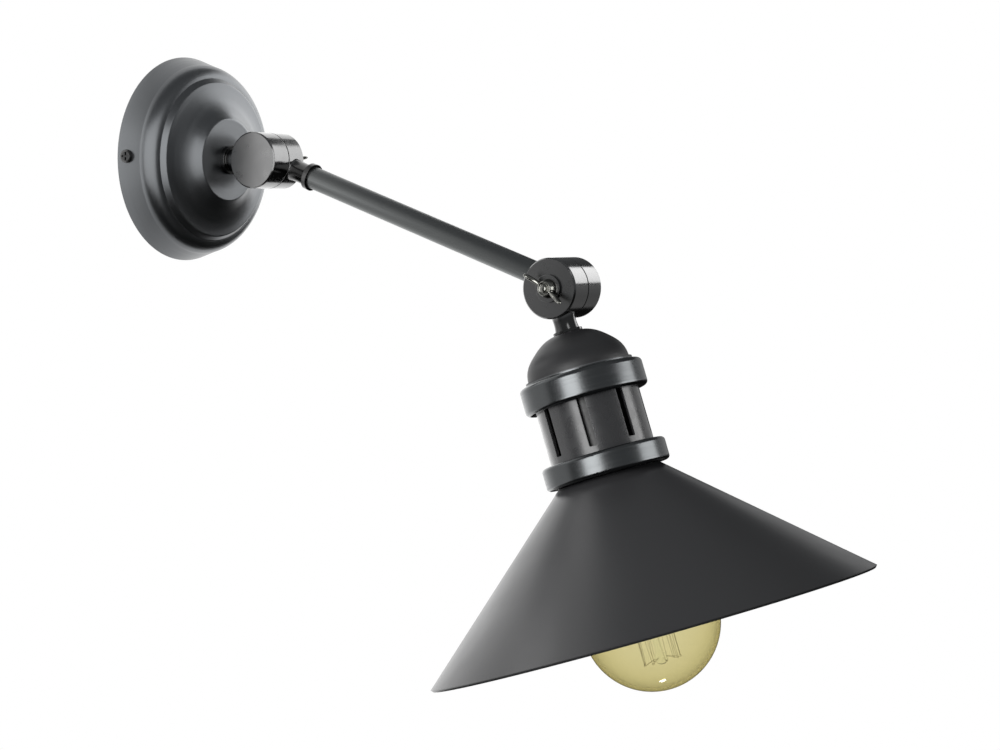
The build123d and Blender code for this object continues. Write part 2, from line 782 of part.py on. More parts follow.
# Vent sleeve with its ring of slots
collar_bottom = collar_top + collar_height
slot_middle = ring_bottom - slot_top_lap + slot_length / 2
with BuildPart() as vent_sleeve:
    revolve(
        ring(head_section, sleeve_radius - sleeve_wall, sleeve_radius, sleeve_seat, collar_bottom),
        axis=head_axis,
    )
    for number in range(slot_count):
        angle = radians(slot_phase + number * 360 / slot_count)
        outward = cos(angle) * head_cross.x_dir + sin(angle) * head_cross.y_dir
        slot_centre = head_cross.origin + slot_middle * head_cross.z_dir
        with BuildSketch(Plane(origin=slot_centre, x_dir=head_cross.z_dir, z_dir=outward)):
            RectangleRounded(slot_length, slot_width, slot_corner)
        extrude(amount=sleeve_radius + sleeve_wall, mode=Mode.SUBTRACT)
vent_sleeve.part.label = "vent_sleeve"
export_step(vent_sleeve.part, "parts/vent_sleeve.step")

# Shade collar on the sleeve's lower end
with BuildPart() as shade_collar:
    revolve(ring(head_section, sleeve_bore, collar_radius, collar_top, collar_bottom), axis=head_axis)
    fillet(circles_of(shade_collar, collar_radius), collar_edge)
shade_collar.part.label = "shade_collar"
export_step(shade_collar.part, "parts/shade_collar.step")

# Shade: a spun cone with a flat shoulder that the shade ring clamps
shade_hole = holder_radius + shade_hole_clearance
with BuildPart() as shade:
    with BuildSketch(head_section):
        with BuildLine():
            FilletPolyline(
                (shade_hole, collar_bottom),
                (shade_shoulder_radius, collar_bottom),
                (shade_rim_radius, collar_bottom + shade_height),
                radius=shade_shoulder_round,
            )
            offset(amount=shade_wall, side=Side.LEFT)
        make_face()
    revolve(axis=head_axis)
shade.part.label = "shade"
export_step(shade.part, "parts/shade.step")

# Lampholder cap, on the end of the spigot
holder_shoulder = holder_top + holder_boss_length
holder_barrel = holder_shoulder + holder_shoulder_drop
with BuildPart() as lampholder_cap:
    revolve(
        outline(head_section, [
            (spigot_radius + thread_clearance, holder_top),
            (holder_boss_radius, holder_top),
            (holder_boss_radius, holder_shoulder - holder_wall),
            (holder_radius, holder_barrel - holder_wall),
            (holder_radius, holder_split),
            (holder_radius - holder_wall, holder_split),
            (holder_radius - holder_wall, holder_barrel),
            (holder_boss_radius, holder_shoulder),
            (spigot_radius + thread_clearance, holder_shoulder),
        ]),
        axis=head_axis,
    )
lampholder_cap.part.label = "lampholder_cap"
export_step(lampholder_cap.part, "parts/lampholder_cap.step")

# Lampholder body: a floor with two terminals and a skirt with a thread for the shade ring
shell_bore = shell_radius + thread_clearance
with BuildPart() as lampholder_body:
    revolve(
        outline(head_section, [
            (0, holder_floor_top),
            (holder_radius - holder_wall, holder_floor_top),
            (holder_radius - holder_wall, holder_split),
            (holder_radius, holder_split),
            (holder_radius, holder_end),
            (shell_bore, holder_end),
            (shell_bore, holder_floor_bottom),
            (0, holder_floor_bottom),
        ]),
        axis=head_axis,
    )
    with BuildSketch(head_cross.offset(holder_floor_top)):
        with GridLocations(2 * holder_terminal_radius, 0, 2, 1):
            Circle(holder_screw_radius + thread_clearance)
    extrude(amount=holder_screw_length, mode=Mode.SUBTRACT)
lampholder_body.part.label = "lampholder_body"
export_step(lampholder_body.part, "parts/lampholder_body.step")

with BuildPart() as lampholder_terminal_screws:
    with BuildSketch(head_cross.offset(holder_floor_top)):
        with GridLocations(2 * holder_terminal_radius, 0, 2, 1):
            Circle(holder_screw_head)
            Rectangle(2 * holder_screw_head, recess_width, mode=Mode.SUBTRACT)
    extrude(amount=-holder_screw_head_height)
    with BuildSketch(head_cross.offset(holder_floor_top)):
        with GridLocations(2 * holder_terminal_radius, 0, 2, 1):
            Circle(holder_screw_head)
    extrude(amount=-holder_screw_head_height / 2)
    with BuildSketch(head_cross.offset(holder_floor_top)):
        with GridLocations(2 * holder_terminal_radius, 0, 2, 1):
            Circle(holder_screw_radius)
    extrude(amount=holder_screw_length)
lampholder_terminal_screws.part.label = "lampholder_terminal_screws"
export_step(lampholder_terminal_screws.part, "parts/lampholder_terminal_screws.step")

with BuildPart() as screw_shell:
    revolve(
        outline(head_section, [
            (shell_lip_radius, holder_floor_bottom),
            (shell_radius, holder_floor_bottom),
            (shell_radius, holder_end - shell_end_gap),
            (shell_radius - shell_wall, holder_end - shell_end_gap),
            (shell_radius - shell_wall, holder_floor_bottom + shell_wall),
            (shell_lip_radius, holder_floor_bottom + shell_wall),
        ]),
        axis=head_axis,
    )
screw_shell.part.label = "screw_shell"
export_step(screw_shell.part, "parts/screw_shell.step")

with BuildPart() as centre_contact:
    revolve(
        outline(head_section, [
            (0, holder_floor_bottom),
            (contact_base_radius, holder_floor_bottom),
            (contact_base_radius, holder_floor_bottom + contact_base_height),
            (contact_radius, holder_floor_bottom + contact_base_height),
            (contact_radius, lamp_tip),
            (0, lamp_tip),
        ]),
        axis=head_axis,
    )
centre_contact.part.label = "centre_contact"
export_step(centre_contact.part, "parts/centre_contact.step")

# Shade ring, screwed on the lampholder's skirt under the shade's shoulder
shade_ring_top = collar_bottom + shade_wall
with BuildPart() as shade_ring:
    revolve(
        outline(head_section, [
            (holder_radius + shade_ring_clearance, shade_ring_top),
            (shade_ring_top_radius, shade_ring_top),
            (shade_ring_radius, shade_ring_top + shade_ring_height / 2),
            (shade_ring_radius, shade_ring_top + shade_ring_height),
            (holder_radius + shade_ring_clearance, shade_ring_top + shade_ring_height),
        ]),
        axis=head_axis,
    )
shade_ring.part.label = "shade_ring"
export_step(shade_ring.part, "parts/shade_ring.step")

# Lamp base: contact tip, insulator and threaded shell
insulator_start = lamp_tip + lamp_tip_height
lamp_base_start = insulator_start + insulator_height
lamp_base_end = lamp_base_start + lamp_base_length
lamp_base_radius = shell_radius - shell_wall - lamp_base_clearance
with BuildPart() as lamp_tip_contact:
    revolve(ring(head_section, 0, lamp_tip_radius, lamp_tip, insulator_start), axis=head_axis)
lamp_tip_contact.part.label = "lamp_tip_contact"
export_step(lamp_tip_contact.part, "parts/lamp_tip_contact.step")

with BuildPart() as lamp_insulator:
    revolve(
        outline(head_section, [
            (0, insulator_start),
            (lamp_tip_radius, insulator_start),
            (insulator_radius, lamp_base_start),
            (0, lamp_base_start),
        ]),
        axis=head_axis,
    )
lamp_insulator.part.label = "lamp_insulator"
export_step(lamp_insulator.part, "parts/lamp_insulator.step")

with BuildPart() as lamp_base:
    revolve(
        outline(head_section, [
            (0, lamp_base_start),
            (insulator_radius, lamp_base_start),
            (lamp_base_radius, lamp_base_start + 2 * lamp_base_wall),
            (lamp_base_radius, lamp_base_end),
            (lamp_base_radius - lamp_base_wall, lamp_base_end),
            (lamp_base_radius - lamp_base_wall, lamp_base_start + 3 * lamp_base_wall),
            (0, lamp_base_start + 3 * lamp_base_wall),
        ]),
        axis=head_axis,
    )
lamp_base.part.label = "lamp_base"
export_step(lamp_base.part, "parts/lamp_base.step")

# Lamp globe: a thin glass wall that swells from the neck to a round end
glass_start = lamp_base_end - glass_neck_sink


def globe_face(inset, start):
    """The half section of the globe, moved in by an inset."""
    neck = glass_neck_radius - inset
    full = globe_radius - inset
    with BuildSketch(head_section) as section:
        with BuildLine():
            Polyline(
                (0, globe_centre), (0, start), (neck, start), (neck, lamp_base_end + glass_seal_thickness)
            )
            Spline(
                (neck, lamp_base_end + glass_seal_thickness),
                (full, globe_centre),
                tangents=((0.18, 1), (0, 1)),
            )
            CenterArc((0, globe_centre), full, 0, 90)
            Line((0, globe_centre + full), (0, globe_centre))
        make_face()
    return section.sketch


with BuildPart() as lamp_globe:
    revolve(globe_face(0, glass_start), axis=head_axis)
    revolve(globe_face(glass_wall, glass_start + glass_seal_thickness), axis=head_axis, mode=Mode.SUBTRACT)
lamp_globe.part.label = "lamp_globe"
export_step(lamp_globe.part, "parts/lamp_globe.step")

# Glass stem inside the globe, with a bead that carries the lower anchors
stem_start = glass_start + glass_seal_thickness
stem_end = stem_start + stem_flare_length
with BuildPart() as lamp_stem:
    with BuildSketch(head_section):
        with BuildLine():
            Line((0, stem_start), (stem_flare_radius, stem_start))
            Spline(
                (stem_flare_radius, stem_start),
                (stem_rod_radius, stem_end),
                tangents=((-1, 0.4), (0, 1)),
            )
            Polyline(
                (stem_rod_radius, stem_end), (stem_rod_radius, cage_bottom), (0, cage_bottom), (0, stem_start)
            )
        make_face()
    revolve(axis=head_axis)
    for bead_level in (cage_top, cage_bottom):
        with Locations(head_cross.offset(bead_level)):
            Sphere(anchor_bead_radius)
lamp_stem.part.label = "lamp_stem"
export_step(lamp_stem.part, "parts/lamp_stem.step")


# Cage filament: one wire that runs up and down in hairpins round the stem
cage_lines = 2 * cage_hairpins
cage_step = 360 / (cage_lines + 1)
bend_rise = cage_radius * sin(radians(cage_step / 2))


def cage_point(number, level):
    """A point of the cage, by the number of the wire and its level along the head."""
    angle = radians(number * cage_step)
    across = cos(angle) * head_cross.x_dir + sin(angle) * head_cross.y_dir
    return head_cross.origin + cage_radius * across + level * head_cross.z_dir


def bend_point(number):
    """The outermost point of the half turn between one wire and the next."""
    downward = number % 2 == 0
    level = cage_bottom + bend_rise if downward else cage_top - bend_rise
    return (cage_point(number, level) + cage_point(number + 1, level)) * 0.5


with BuildPart() as filament:
    with BuildLine() as cage_line:
        for number in range(cage_lines):
            ends = (cage_top, cage_bottom) if number % 2 == 0 else (cage_bottom, cage_top)
            Line(cage_point(number, ends[0]), cage_point(number, ends[1]))
            if number < cage_lines - 1:
                ThreePointArc(
                    cage_point(number, ends[1]),
                    bend_point(number),
                    cage_point(number + 1, ends[1]),
                )
    with BuildSketch(Plane(origin=cage_point(0, cage_top), z_dir=head_direction)):
        Circle(cage_wire_radius)
    sweep()
filament.part.label = "filament"
export_step(filament.part, "parts/filament.step")
wire_spacing = (cage_point(1, cage_top) - cage_point(0, cage_top)).length
print(f"least gap of the filament to itself: {wire_spacing - 2 * cage_wire_radius:.2f} mm")

# Anchor wires from the beads to the bends of the filament
anchor_start = anchor_bead_radius
with BuildPart() as filament_anchors:
    for number in range(cage_lines - 1):
        level = cage_bottom if number % 2 == 0 else cage_top
        bead_centre = head_cross.origin + level * head_cross.z_dir
        along = bend_point(number) - bead_centre
        anchor_end = along.length - cage_wire_radius - anchor_wire_radius
        with BuildSketch(Plane(origin=bead_centre + along.normalized() * anchor_start, z_dir=along)):
            Circle(anchor_wire_radius)
        extrude(amount=anchor_end - anchor_start)
filament_anchors.part.label = "filament_anchors"
export_step(filament_anchors.part, "parts/filament_anchors.step")

# Leads: short stretches of two cores that end inside each knuckle, and the earth lead
core_start_z = terminal_bottom_z + terminal_bore_radius
core_start_y = -strap_thickness - terminal_bore_height
chamber_middle = lead_bore_start + core_radius / 2
core_places = [(0.0, -core_spread), (terminal_pitch, core_spread)]
with BuildPart() as supply_leads:
    for pole_x, bore_x in core_places:
        with BuildLine() as route:
            bend = Spline(
                (pole_x, core_start_y, core_start_z),
                (bore_x, -spigot_start, 0),
                tangents=((0, 0, -1), (0, -1, 0)),
            )
            Line(bend @ 1, (bore_x, chamber_middle - pivot_reach, 0))
        sweep(core_section(route.line), path=route.line)
supply_leads.part.label = "supply_leads"
export_step(supply_leads.part, "parts/supply_leads.step")

earth_end_y = -strap_thickness - core_radius - thread_clearance
earth_end_z = earth_washer_radius + core_radius / 2
with BuildPart() as earth_lead:
    with BuildLine() as earth_route:
        Spline(
            (-terminal_pitch, core_start_y, core_start_z),
            (earth_screw_x, earth_end_y, earth_end_z),
            tangents=((0, 0, -1), (0, 0, -1)),
        )
    sweep(core_section(earth_route.line), path=earth_route.line)
earth_lead.part.label = "earth_lead"
export_step(earth_lead.part, "parts/earth_lead.step")

with BuildPart() as arm_leads:
    with BuildSketch(arm_cross.offset(chamber_middle)):
        with GridLocations(0, 2 * core_spread, 1, 2):
            Circle(core_radius)
    extrude(amount=arm_length - 2 * chamber_middle)
arm_leads.part.label = "arm_leads"
export_step(arm_leads.part, "parts/arm_leads.step")

terminal_side = holder_terminal_radius - holder_screw_head - core_radius - thread_clearance
with BuildPart() as head_leads:
    for side in (-1, 1):
        with BuildLine(head_section) as head_route:
            straight = Line((side * core_spread, chamber_middle), (side * core_spread, head_spigot_end))
            Spline(
                straight @ 1,
                (side * terminal_side, holder_floor_top - thread_clearance),
                tangents=(straight % 1, straight % 1),
            )
        sweep(core_section(head_route.line), path=head_route.line)
head_leads.part.label = "head_leads"
export_step(head_leads.part, "parts/head_leads.step")
print("parts written")
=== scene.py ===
# %% [markdown]
# # A wall lamp, dressed from its own solids
# The lamp comes in as finished solids in metres, each named for its piece and hung on the body that it
# moves with. This lesson gives every piece the finish of the real one, adds what is better made as a mesh
# or a curve, and sets a small studio round it. The solids stay where they are, so a tilt of the arm or
# the head still works afterwards.

# %% Load the lamp
import bpy
import bmesh
import json
from math import cos, pi, radians, sin
from mathutils import Matrix, Vector


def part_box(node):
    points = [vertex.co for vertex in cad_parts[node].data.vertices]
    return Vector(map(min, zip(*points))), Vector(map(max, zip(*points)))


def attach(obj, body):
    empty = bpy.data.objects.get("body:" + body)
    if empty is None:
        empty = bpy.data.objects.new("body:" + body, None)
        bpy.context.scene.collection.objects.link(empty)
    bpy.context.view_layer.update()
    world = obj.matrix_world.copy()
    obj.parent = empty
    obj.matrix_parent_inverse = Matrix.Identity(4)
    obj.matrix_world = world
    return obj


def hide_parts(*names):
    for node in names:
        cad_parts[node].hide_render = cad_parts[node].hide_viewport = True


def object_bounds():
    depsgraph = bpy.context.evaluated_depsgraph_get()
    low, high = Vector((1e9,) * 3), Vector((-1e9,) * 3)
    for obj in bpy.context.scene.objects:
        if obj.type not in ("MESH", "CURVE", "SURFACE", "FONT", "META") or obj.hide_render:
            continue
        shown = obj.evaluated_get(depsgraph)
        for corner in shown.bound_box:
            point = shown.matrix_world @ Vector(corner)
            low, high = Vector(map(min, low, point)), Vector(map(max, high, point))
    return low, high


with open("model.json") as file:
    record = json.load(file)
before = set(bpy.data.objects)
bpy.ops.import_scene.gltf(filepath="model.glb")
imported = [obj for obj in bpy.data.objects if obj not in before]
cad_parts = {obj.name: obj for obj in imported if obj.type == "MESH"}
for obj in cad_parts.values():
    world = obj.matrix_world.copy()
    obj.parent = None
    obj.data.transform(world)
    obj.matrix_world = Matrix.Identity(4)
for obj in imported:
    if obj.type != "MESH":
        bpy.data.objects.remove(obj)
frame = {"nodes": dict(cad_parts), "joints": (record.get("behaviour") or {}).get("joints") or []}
solid_low, solid_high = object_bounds()
joints = {joint["name"]: joint for joint in frame["joints"]}
upper_pivot = Vector(joints["arm_tilt"]["pos_m"])
lower_pivot = Vector(joints["head_tilt"]["pos_m"])
head_axis = Vector(joints["lamp_turn"]["axis"]).normalized()
arm_axis = (lower_pivot - upper_pivot).normalized()
millimetre = 0.001
print("pieces:", len(frame["nodes"]), "joints:", sorted(joints))

# %% [markdown]
# ## The camera
# The picture was taken from the left of the lamp, a little under its canopy, with a long lens. A camera
# could be aimed by eye, but here its place and its three turns were found by matching the lamp's
# outlines, so that the same lamp lands on the same points. A camera looks along its own -Z, so its three
# axes are worked out first and put into one matrix.

# %% Set the camera


def put_in_scene(name, data):
    """A new object that shows some data, linked into the scene."""
    made = bpy.data.objects.new(name, data)
    bpy.context.scene.collection.objects.link(made)
    return made


camera_place = Vector((-0.7666, -0.6682, -0.0167))
camera_heading = radians(57.85)
camera_pitch = radians(-4.93)
camera_roll = radians(1.48)
camera_lens = 72.5

forward = Vector((
    sin(camera_heading) * cos(camera_pitch),
    cos(camera_heading) * cos(camera_pitch),
    sin(camera_pitch),
))
level_right = forward.cross(Vector((0, 0, 1))).normalized()
level_up = level_right.cross(forward)
camera_right = cos(camera_roll) * level_right + sin(camera_roll) * level_up
camera_up = cos(camera_roll) * level_up - sin(camera_roll) * level_right
camera_turn = Matrix((camera_right, camera_up, -forward)).transposed().to_4x4()

camera = put_in_scene("camera", bpy.data.cameras.new("camera"))
camera.data.lens = camera_lens
camera.matrix_world = Matrix.Translation(camera_place) @ camera_turn
bpy.context.scene.camera = camera
bpy.context.scene.view_settings.view_transform = "Standard"
print("camera to the lower knuckle:", round((lower_pivot - camera_place).length, 3), "m")

# %% [markdown]
# ## Two helpers for finishes
# A colour on a screen is coded as sRGB, and a shader works with plain light, so one function turns a hex
# colour into linear values. The other adds one node to a material: its settings come as names, and each
# input is either a value or the socket of an earlier node. A Mix node has sockets for every kind of value
# under the same two names, so these are taken by their numbers.

# %% Colour and node helpers
number_a, number_b = 2, 3
colour_a, colour_b = 6, 7


def colour(code):
    """An sRGB hex colour as linear red, green, blue and a full alpha."""
    parts = [int(code[place:place + 2], 16) / 255 for place in (1, 3, 5)]
    return [part / 12.92 if part <= 0.04045 else ((part + 0.055) / 1.055) ** 2.4 for part in parts] + [1.0]


def add_node(tree, kind, inputs=None, **settings):
    """One shader node with its settings, and its inputs set or linked."""
    made = tree.nodes.new("ShaderNode" + kind)
    for name, value in settings.items():
        setattr(made, name, value)
    for socket, value in (inputs or {}).items():
        if isinstance(value, bpy.types.NodeSocket):
            tree.links.new(value, made.inputs[socket])
        else:
            made.inputs[socket].default_value = value
    return made


white = colour("#ffffff")
print("mid grey #808080 is", round(colour("#808080")[0], 3), "as light")

# %% [markdown]
# ## The studio
# Dark metal shows little colour of its own: what the eye reads as its shape is the room that it mirrors.
# So the room comes before the finishes. One grey all round would leave the metal flat, so the world tells
# rays apart. To the camera and through glass it is plain white, for the white background. A mirroring
# surface sees a dim studio, dark below and grey above, with a curtain that dims its right side. A matt
# surface gets a soft grey fill.

# %% World
fill_grey = colour("#b4b6b8")
floor_grey = colour("#282828")
ceiling_grey = colour("#828486")
curtain_grey = colour("#b0b0b0")
horizon_low = sin(radians(-14))
horizon_high = sin(radians(2))
curtain_from = 0.35
curtain_to = 0.75

world = bpy.data.worlds.new("studio")
bpy.context.scene.world = world
world.use_nodes = True
air = world.node_tree
rays = add_node(air, "LightPath")
way = add_node(air, "SeparateXYZ", {"Vector": add_node(air, "TexCoord").outputs["Generated"]})
rise = add_node(air, "MapRange", {
    "Value": way.outputs["Z"], "From Min": horizon_low, "From Max": horizon_high,
})
room = add_node(air, "Mix", {
    "Factor": rise.outputs[0], colour_a: floor_grey, colour_b: ceiling_grey,
}, data_type="RGBA")
to_right = add_node(air, "MapRange", {
    "Value": way.outputs["X"], "From Min": curtain_from, "From Max": curtain_to,
})
curtained = add_node(air, "Mix", {
    "Factor": to_right.outputs[0], colour_a: room.outputs[2], colour_b: curtain_grey,
}, data_type="RGBA", blend_type="MULTIPLY")
mirrored = add_node(air, "Mix", {
    "Factor": rays.outputs["Is Glossy Ray"], colour_a: fill_grey, colour_b: curtained.outputs[2],
}, data_type="RGBA")
seen = add_node(air, "Math", {
    0: rays.outputs["Is Camera Ray"], 1: rays.outputs["Is Transmission Ray"],
}, operation="MAXIMUM")
shown = add_node(air, "Mix", {
    "Factor": seen.outputs[0], colour_a: mirrored.outputs[2], colour_b: white,
}, data_type="RGBA")
air.links.new(shown.outputs[2], air.nodes["Background"].inputs["Color"])
print("world:", len(air.nodes), "nodes")

# %% [markdown]
# ## Lights
# A soft box is a lit panel. It is placed by the way it lies from the lamp, as a photographer would say
# it: so far round to the side, so far up and so far off, so wide, so high, and so bright in a mirror next
# to white paper, which is 1. Two large panels shape the canopy and the upper knuckle. Three strips draw
# the highlights on the head and on the lower knuckle, two dim cards lift their shaded sides, and a small
# lamp gives the lower neck its spark. The left fill is for matt surfaces, so no mirror shows it. The low
# lamp hangs close under the globe and leaves one small bright spot on the glass.

# %% Soft boxes
lamp_middle = (solid_low + solid_high) / 2
globe_low, globe_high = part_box("lamp_globe")
globe_radius = (globe_high.x - globe_low.x) / 2
globe_middle = globe_low + globe_radius * Vector((1, 1, 1))


def toward(side, rise):
    """The direction from the lamp, turned to the right of the room's middle and raised, in degrees."""
    level_part = cos(radians(rise))
    return Vector((sin(radians(side)) * level_part, -cos(radians(side)) * level_part, sin(radians(rise))))


def soft_box(name, side, rise, distance, width, height, brightness, middle=lamp_middle):
    """A lit panel that faces a middle from a distance, with the brightness that a mirror shows."""
    panel = bpy.data.lights.new(name, "AREA")
    panel.shape = "RECTANGLE"
    panel.size = width
    panel.size_y = height
    panel.energy = brightness * pi * width * height
    lit = put_in_scene(name, panel)
    lit.location = middle + distance * toward(side, rise)
    lit.rotation_mode = "QUATERNION"
    lit.rotation_quaternion = toward(side, rise).to_track_quat("Z", "Y")
    return lit


left_panel = soft_box("left panel", -48, 5, 1.6, 2.9, 2.1, 2.0)
right_panel = soft_box("right panel", 84, 16, 1.6, 2.2, 1.34, 2.6)
left_strip = soft_box("left strip", -81, 1, 1.0, 0.52, 0.76, 5.2)
front_strip = soft_box("front strip", 28, 8, 1.0, 0.68, 0.56, 3.7)
right_strip = soft_box("right strip", 70, 24, 1.3, 0.62, 0.6, 3.4)
right_card = soft_box("right card", 66, -14, 1.3, 0.7, 1.1, 0.24)
head_card = soft_box("head card", 82, 9, 1.2, 1.0, 0.5, 0.38)
neck_lamp = soft_box("neck lamp", -48, 39, 1.0, 0.25, 0.25, 3.0)
left_fill = soft_box("left fill", -105, 15, 1.2, 1.0, 1.0, 7.0)
left_fill.visible_glossy = False
low_lamp = soft_box("small low lamp", 68, -74, 0.3, 0.04, 0.025, 12.0, globe_middle)
low_lamp.data.shape = "ELLIPSE"
print("soft boxes:", len(bpy.data.lights))

# %% [markdown]
# ## Floor
# The lamp hangs on a wall, so the floor is a plain pale sheet well under it. Near the lamp it is paper
# that keeps the shadow, and further out it turns to the white of the background, so that no edge shows.
# Seen from below, a sheet with two sides would hide the lamp, so its underside is clear.

# %% Lay the floor


def flat_sheet(name, corners):
    """One flat face through its corners, as a piece of the stage."""
    mesh = bpy.data.meshes.new(name)
    mesh.from_pydata(corners, [], [tuple(range(len(corners)))])
    sheet = put_in_scene(name, mesh)
    return sheet


def start_sheet(name):
    """A material for the stage, with no shader in it yet."""
    material = bpy.data.materials.new(name)
    material.use_nodes = True
    tree = material.node_tree
    tree.nodes.remove(tree.nodes["Principled BSDF"])
    return material, tree


floor_drop = 0.5
floor_reach = 8.0
shadow_reach = 1.2
near_whiteness = 0.7
floor = flat_sheet("floor", [
    (-floor_reach, -floor_reach, 0), (floor_reach, -floor_reach, 0),
    (floor_reach, floor_reach, 0), (-floor_reach, floor_reach, 0),
])
floor.location = (lamp_middle.x, lamp_middle.y, solid_low.z - floor_drop)
floor.visible_glossy = False
paper, tree = start_sheet("white paper sheet")
place = add_node(tree, "TexCoord").outputs["Object"]
distance_out = add_node(tree, "VectorMath", {0: place}, operation="LENGTH")
fade = add_node(tree, "MapRange", {
    "Value": distance_out.outputs["Value"], "From Min": 0.0, "From Max": shadow_reach,
    "To Min": near_whiteness, "To Max": 1.0,
})
rays = add_node(tree, "LightPath")
seen = add_node(tree, "Math", {
    0: rays.outputs["Is Camera Ray"], 1: rays.outputs["Is Transmission Ray"],
}, operation="MAXIMUM")
whiten = add_node(tree, "Math", {0: fade.outputs[0], 1: seen.outputs[0]}, operation="MULTIPLY")
upper_side = add_node(tree, "MixShader", {
    "Fac": whiten.outputs[0],
    1: add_node(tree, "BsdfDiffuse", {"Color": colour("#f4f4f2")}).outputs[0],
    2: add_node(tree, "Emission", {"Color": white}).outputs[0],
})
both_sides = add_node(tree, "MixShader", {
    "Fac": add_node(tree, "NewGeometry").outputs["Backfacing"],
    1: upper_side.outputs[0],
    2: add_node(tree, "BsdfTransparent").outputs[0],
})
tree.links.new(both_sides.outputs[0], tree.nodes["Material Output"].inputs["Surface"])
floor.data.materials.append(paper)
print("floor at", round(floor.location.z, 3), "m")

# %% [markdown]
# ## Board
# Metal has to mirror the white behind the lamp as well. White all round would wash out the dark bands
# that show the shape of dark plate, so the metal sees a lit board of a limited size, and the dim studio
# beside it. The board is brighter to the right, where the round sides of the knuckles mirror it, and in a
# patch at the left of the canopy, for the sheen on the canopy's edge. The camera and matt surfaces don't
# see it, so the back of the lamp can still be looked at.

# %% Hang the board
board_left, board_right = -0.33, 0.36
board_bottom, board_top = -0.4, 0.2
board_depth = solid_high.y + millimetre
left_brightness, right_brightness = 0.78, 1.55
brighter_from, brighter_to = -0.06, 0.08
patch_middle = Vector((-0.085, board_depth, 0.0))
patch_inside, patch_outside = 0.03, 0.075
patch_brightness = 1.2

board = flat_sheet("wall board", [
    (board_left, board_depth, board_bottom), (board_right, board_depth, board_bottom),
    (board_right, board_depth, board_top), (board_left, board_depth, board_top),
])
board.visible_camera = False
board.visible_diffuse = False
board.visible_transmission = False
board.visible_shadow = False
lit_board, tree = start_sheet("white painted board")
place = add_node(tree, "TexCoord").outputs["Object"]
board_light = add_node(tree, "MapRange", {
    "Value": add_node(tree, "SeparateXYZ", {0: place}).outputs["X"],
    "From Min": brighter_from, "From Max": brighter_to,
    "To Min": left_brightness, "To Max": right_brightness,
})
patch_away = add_node(tree, "VectorMath", {0: place, 1: patch_middle}, operation="DISTANCE")
patch_light = add_node(tree, "MapRange", {
    "Value": patch_away.outputs["Value"], "From Min": patch_inside, "From Max": patch_outside,
    "To Min": patch_brightness, "To Max": 0.0,
})
both = add_node(tree, "Math", {0: board_light.outputs[0], 1: patch_light.outputs[0]}, operation="ADD")
glow = add_node(tree, "Emission", {"Color": white, "Strength": both.outputs[0]})
tree.links.new(glow.outputs[0], tree.nodes["Material Output"].inputs["Surface"])
board.data.materials.append(lit_board)
print("board:", round(board_right - board_left, 2), "m wide")

# %% [markdown]
# ## Finishes that follow an axis
# Almost every piece of this lamp was turned or spun, so its marks run round an axis. They could be
# unwrapped on to a flat map, but a noise in space needs none: a point of a piece is first turned into the
# axis's own coordinates, and then a noise that is stretched across the axis and squeezed along it gives
# streaks that run round, whatever way the piece points in the room.

# %% Axis helpers


def start_finish(name, sockets):
    """A material with one Principled shader, whose plain values are set on its own sockets."""
    material = bpy.data.materials.new(name)
    material.use_nodes = True
    shader = material.node_tree.nodes["Principled BSDF"]
    for socket, value in sockets.items():
        shader.inputs[socket].default_value = value
    return material, material.node_tree, shader


def put_finish(material, *names):
    """Gives the finish to solids by their names."""
    for name in names:
        slots = frame["nodes"][name].data.materials
        slots.clear()
        slots.append(material)


def axis_coordinates(tree, origin, axis):
    """A point in the coordinates of an axis, as a vector socket whose Z runs along it."""
    return add_node(tree, "Mapping", {
        "Vector": add_node(tree, "TexCoord").outputs["Object"],
        "Location": origin,
        "Rotation": axis.to_track_quat("Z", "X").to_euler(),
    }, vector_type="TEXTURE").outputs[0]


def streaks(tree, place, across, along, detail=3.0):
    """Noise with one grain across an axis and another along it, in metres."""
    squeezed = add_node(tree, "VectorMath", {
        0: place, 1: (1 / across, 1 / across, 1 / along),
    }, operation="MULTIPLY")
    return add_node(tree, "TexNoise", {
        "Vector": squeezed.outputs[0], "Scale": 1.0, "Detail": detail,
    }).outputs[0]


def wander(tree, pattern, low, high):
    """A value that wanders between two others with a noise, which itself runs from about 0.3 to 0.7."""
    return add_node(tree, "MapRange", {
        "Value": pattern, "From Min": 0.3, "From Max": 0.7, "To Min": low, "To Max": high,
    }).outputs[0]


def mark_surface(tree, shader, pattern, depth, edge=0.0):
    """Presses a pattern into the surface to a depth, and breaks sharp edges by a radius, both in metres."""
    pressed = add_node(tree, "Bump", {"Height": pattern, "Distance": depth})
    if edge:
        rounded = add_node(tree, "Bevel", {"Radius": edge}, samples=6)
        tree.links.new(rounded.outputs[0], pressed.inputs["Normal"])
    tree.links.new(pressed.outputs[0], shader.inputs["Normal"])


print("head axis:", [round(part, 3) for part in head_axis])

# %% [markdown]
# ## Canopy: satin gunmetal on spun steel
# The canopy was spun from a steel disc, plated a dark gunmetal and lacquered satin. It mirrors the studio
# softly, and a close look finds faint rings left by the spinning tool. Rings could follow the depth
# alone, but then the flat disc would have none. So they follow the distance from the axis and the depth
# added together, and run round on the disc as well as on the sloping skirt.

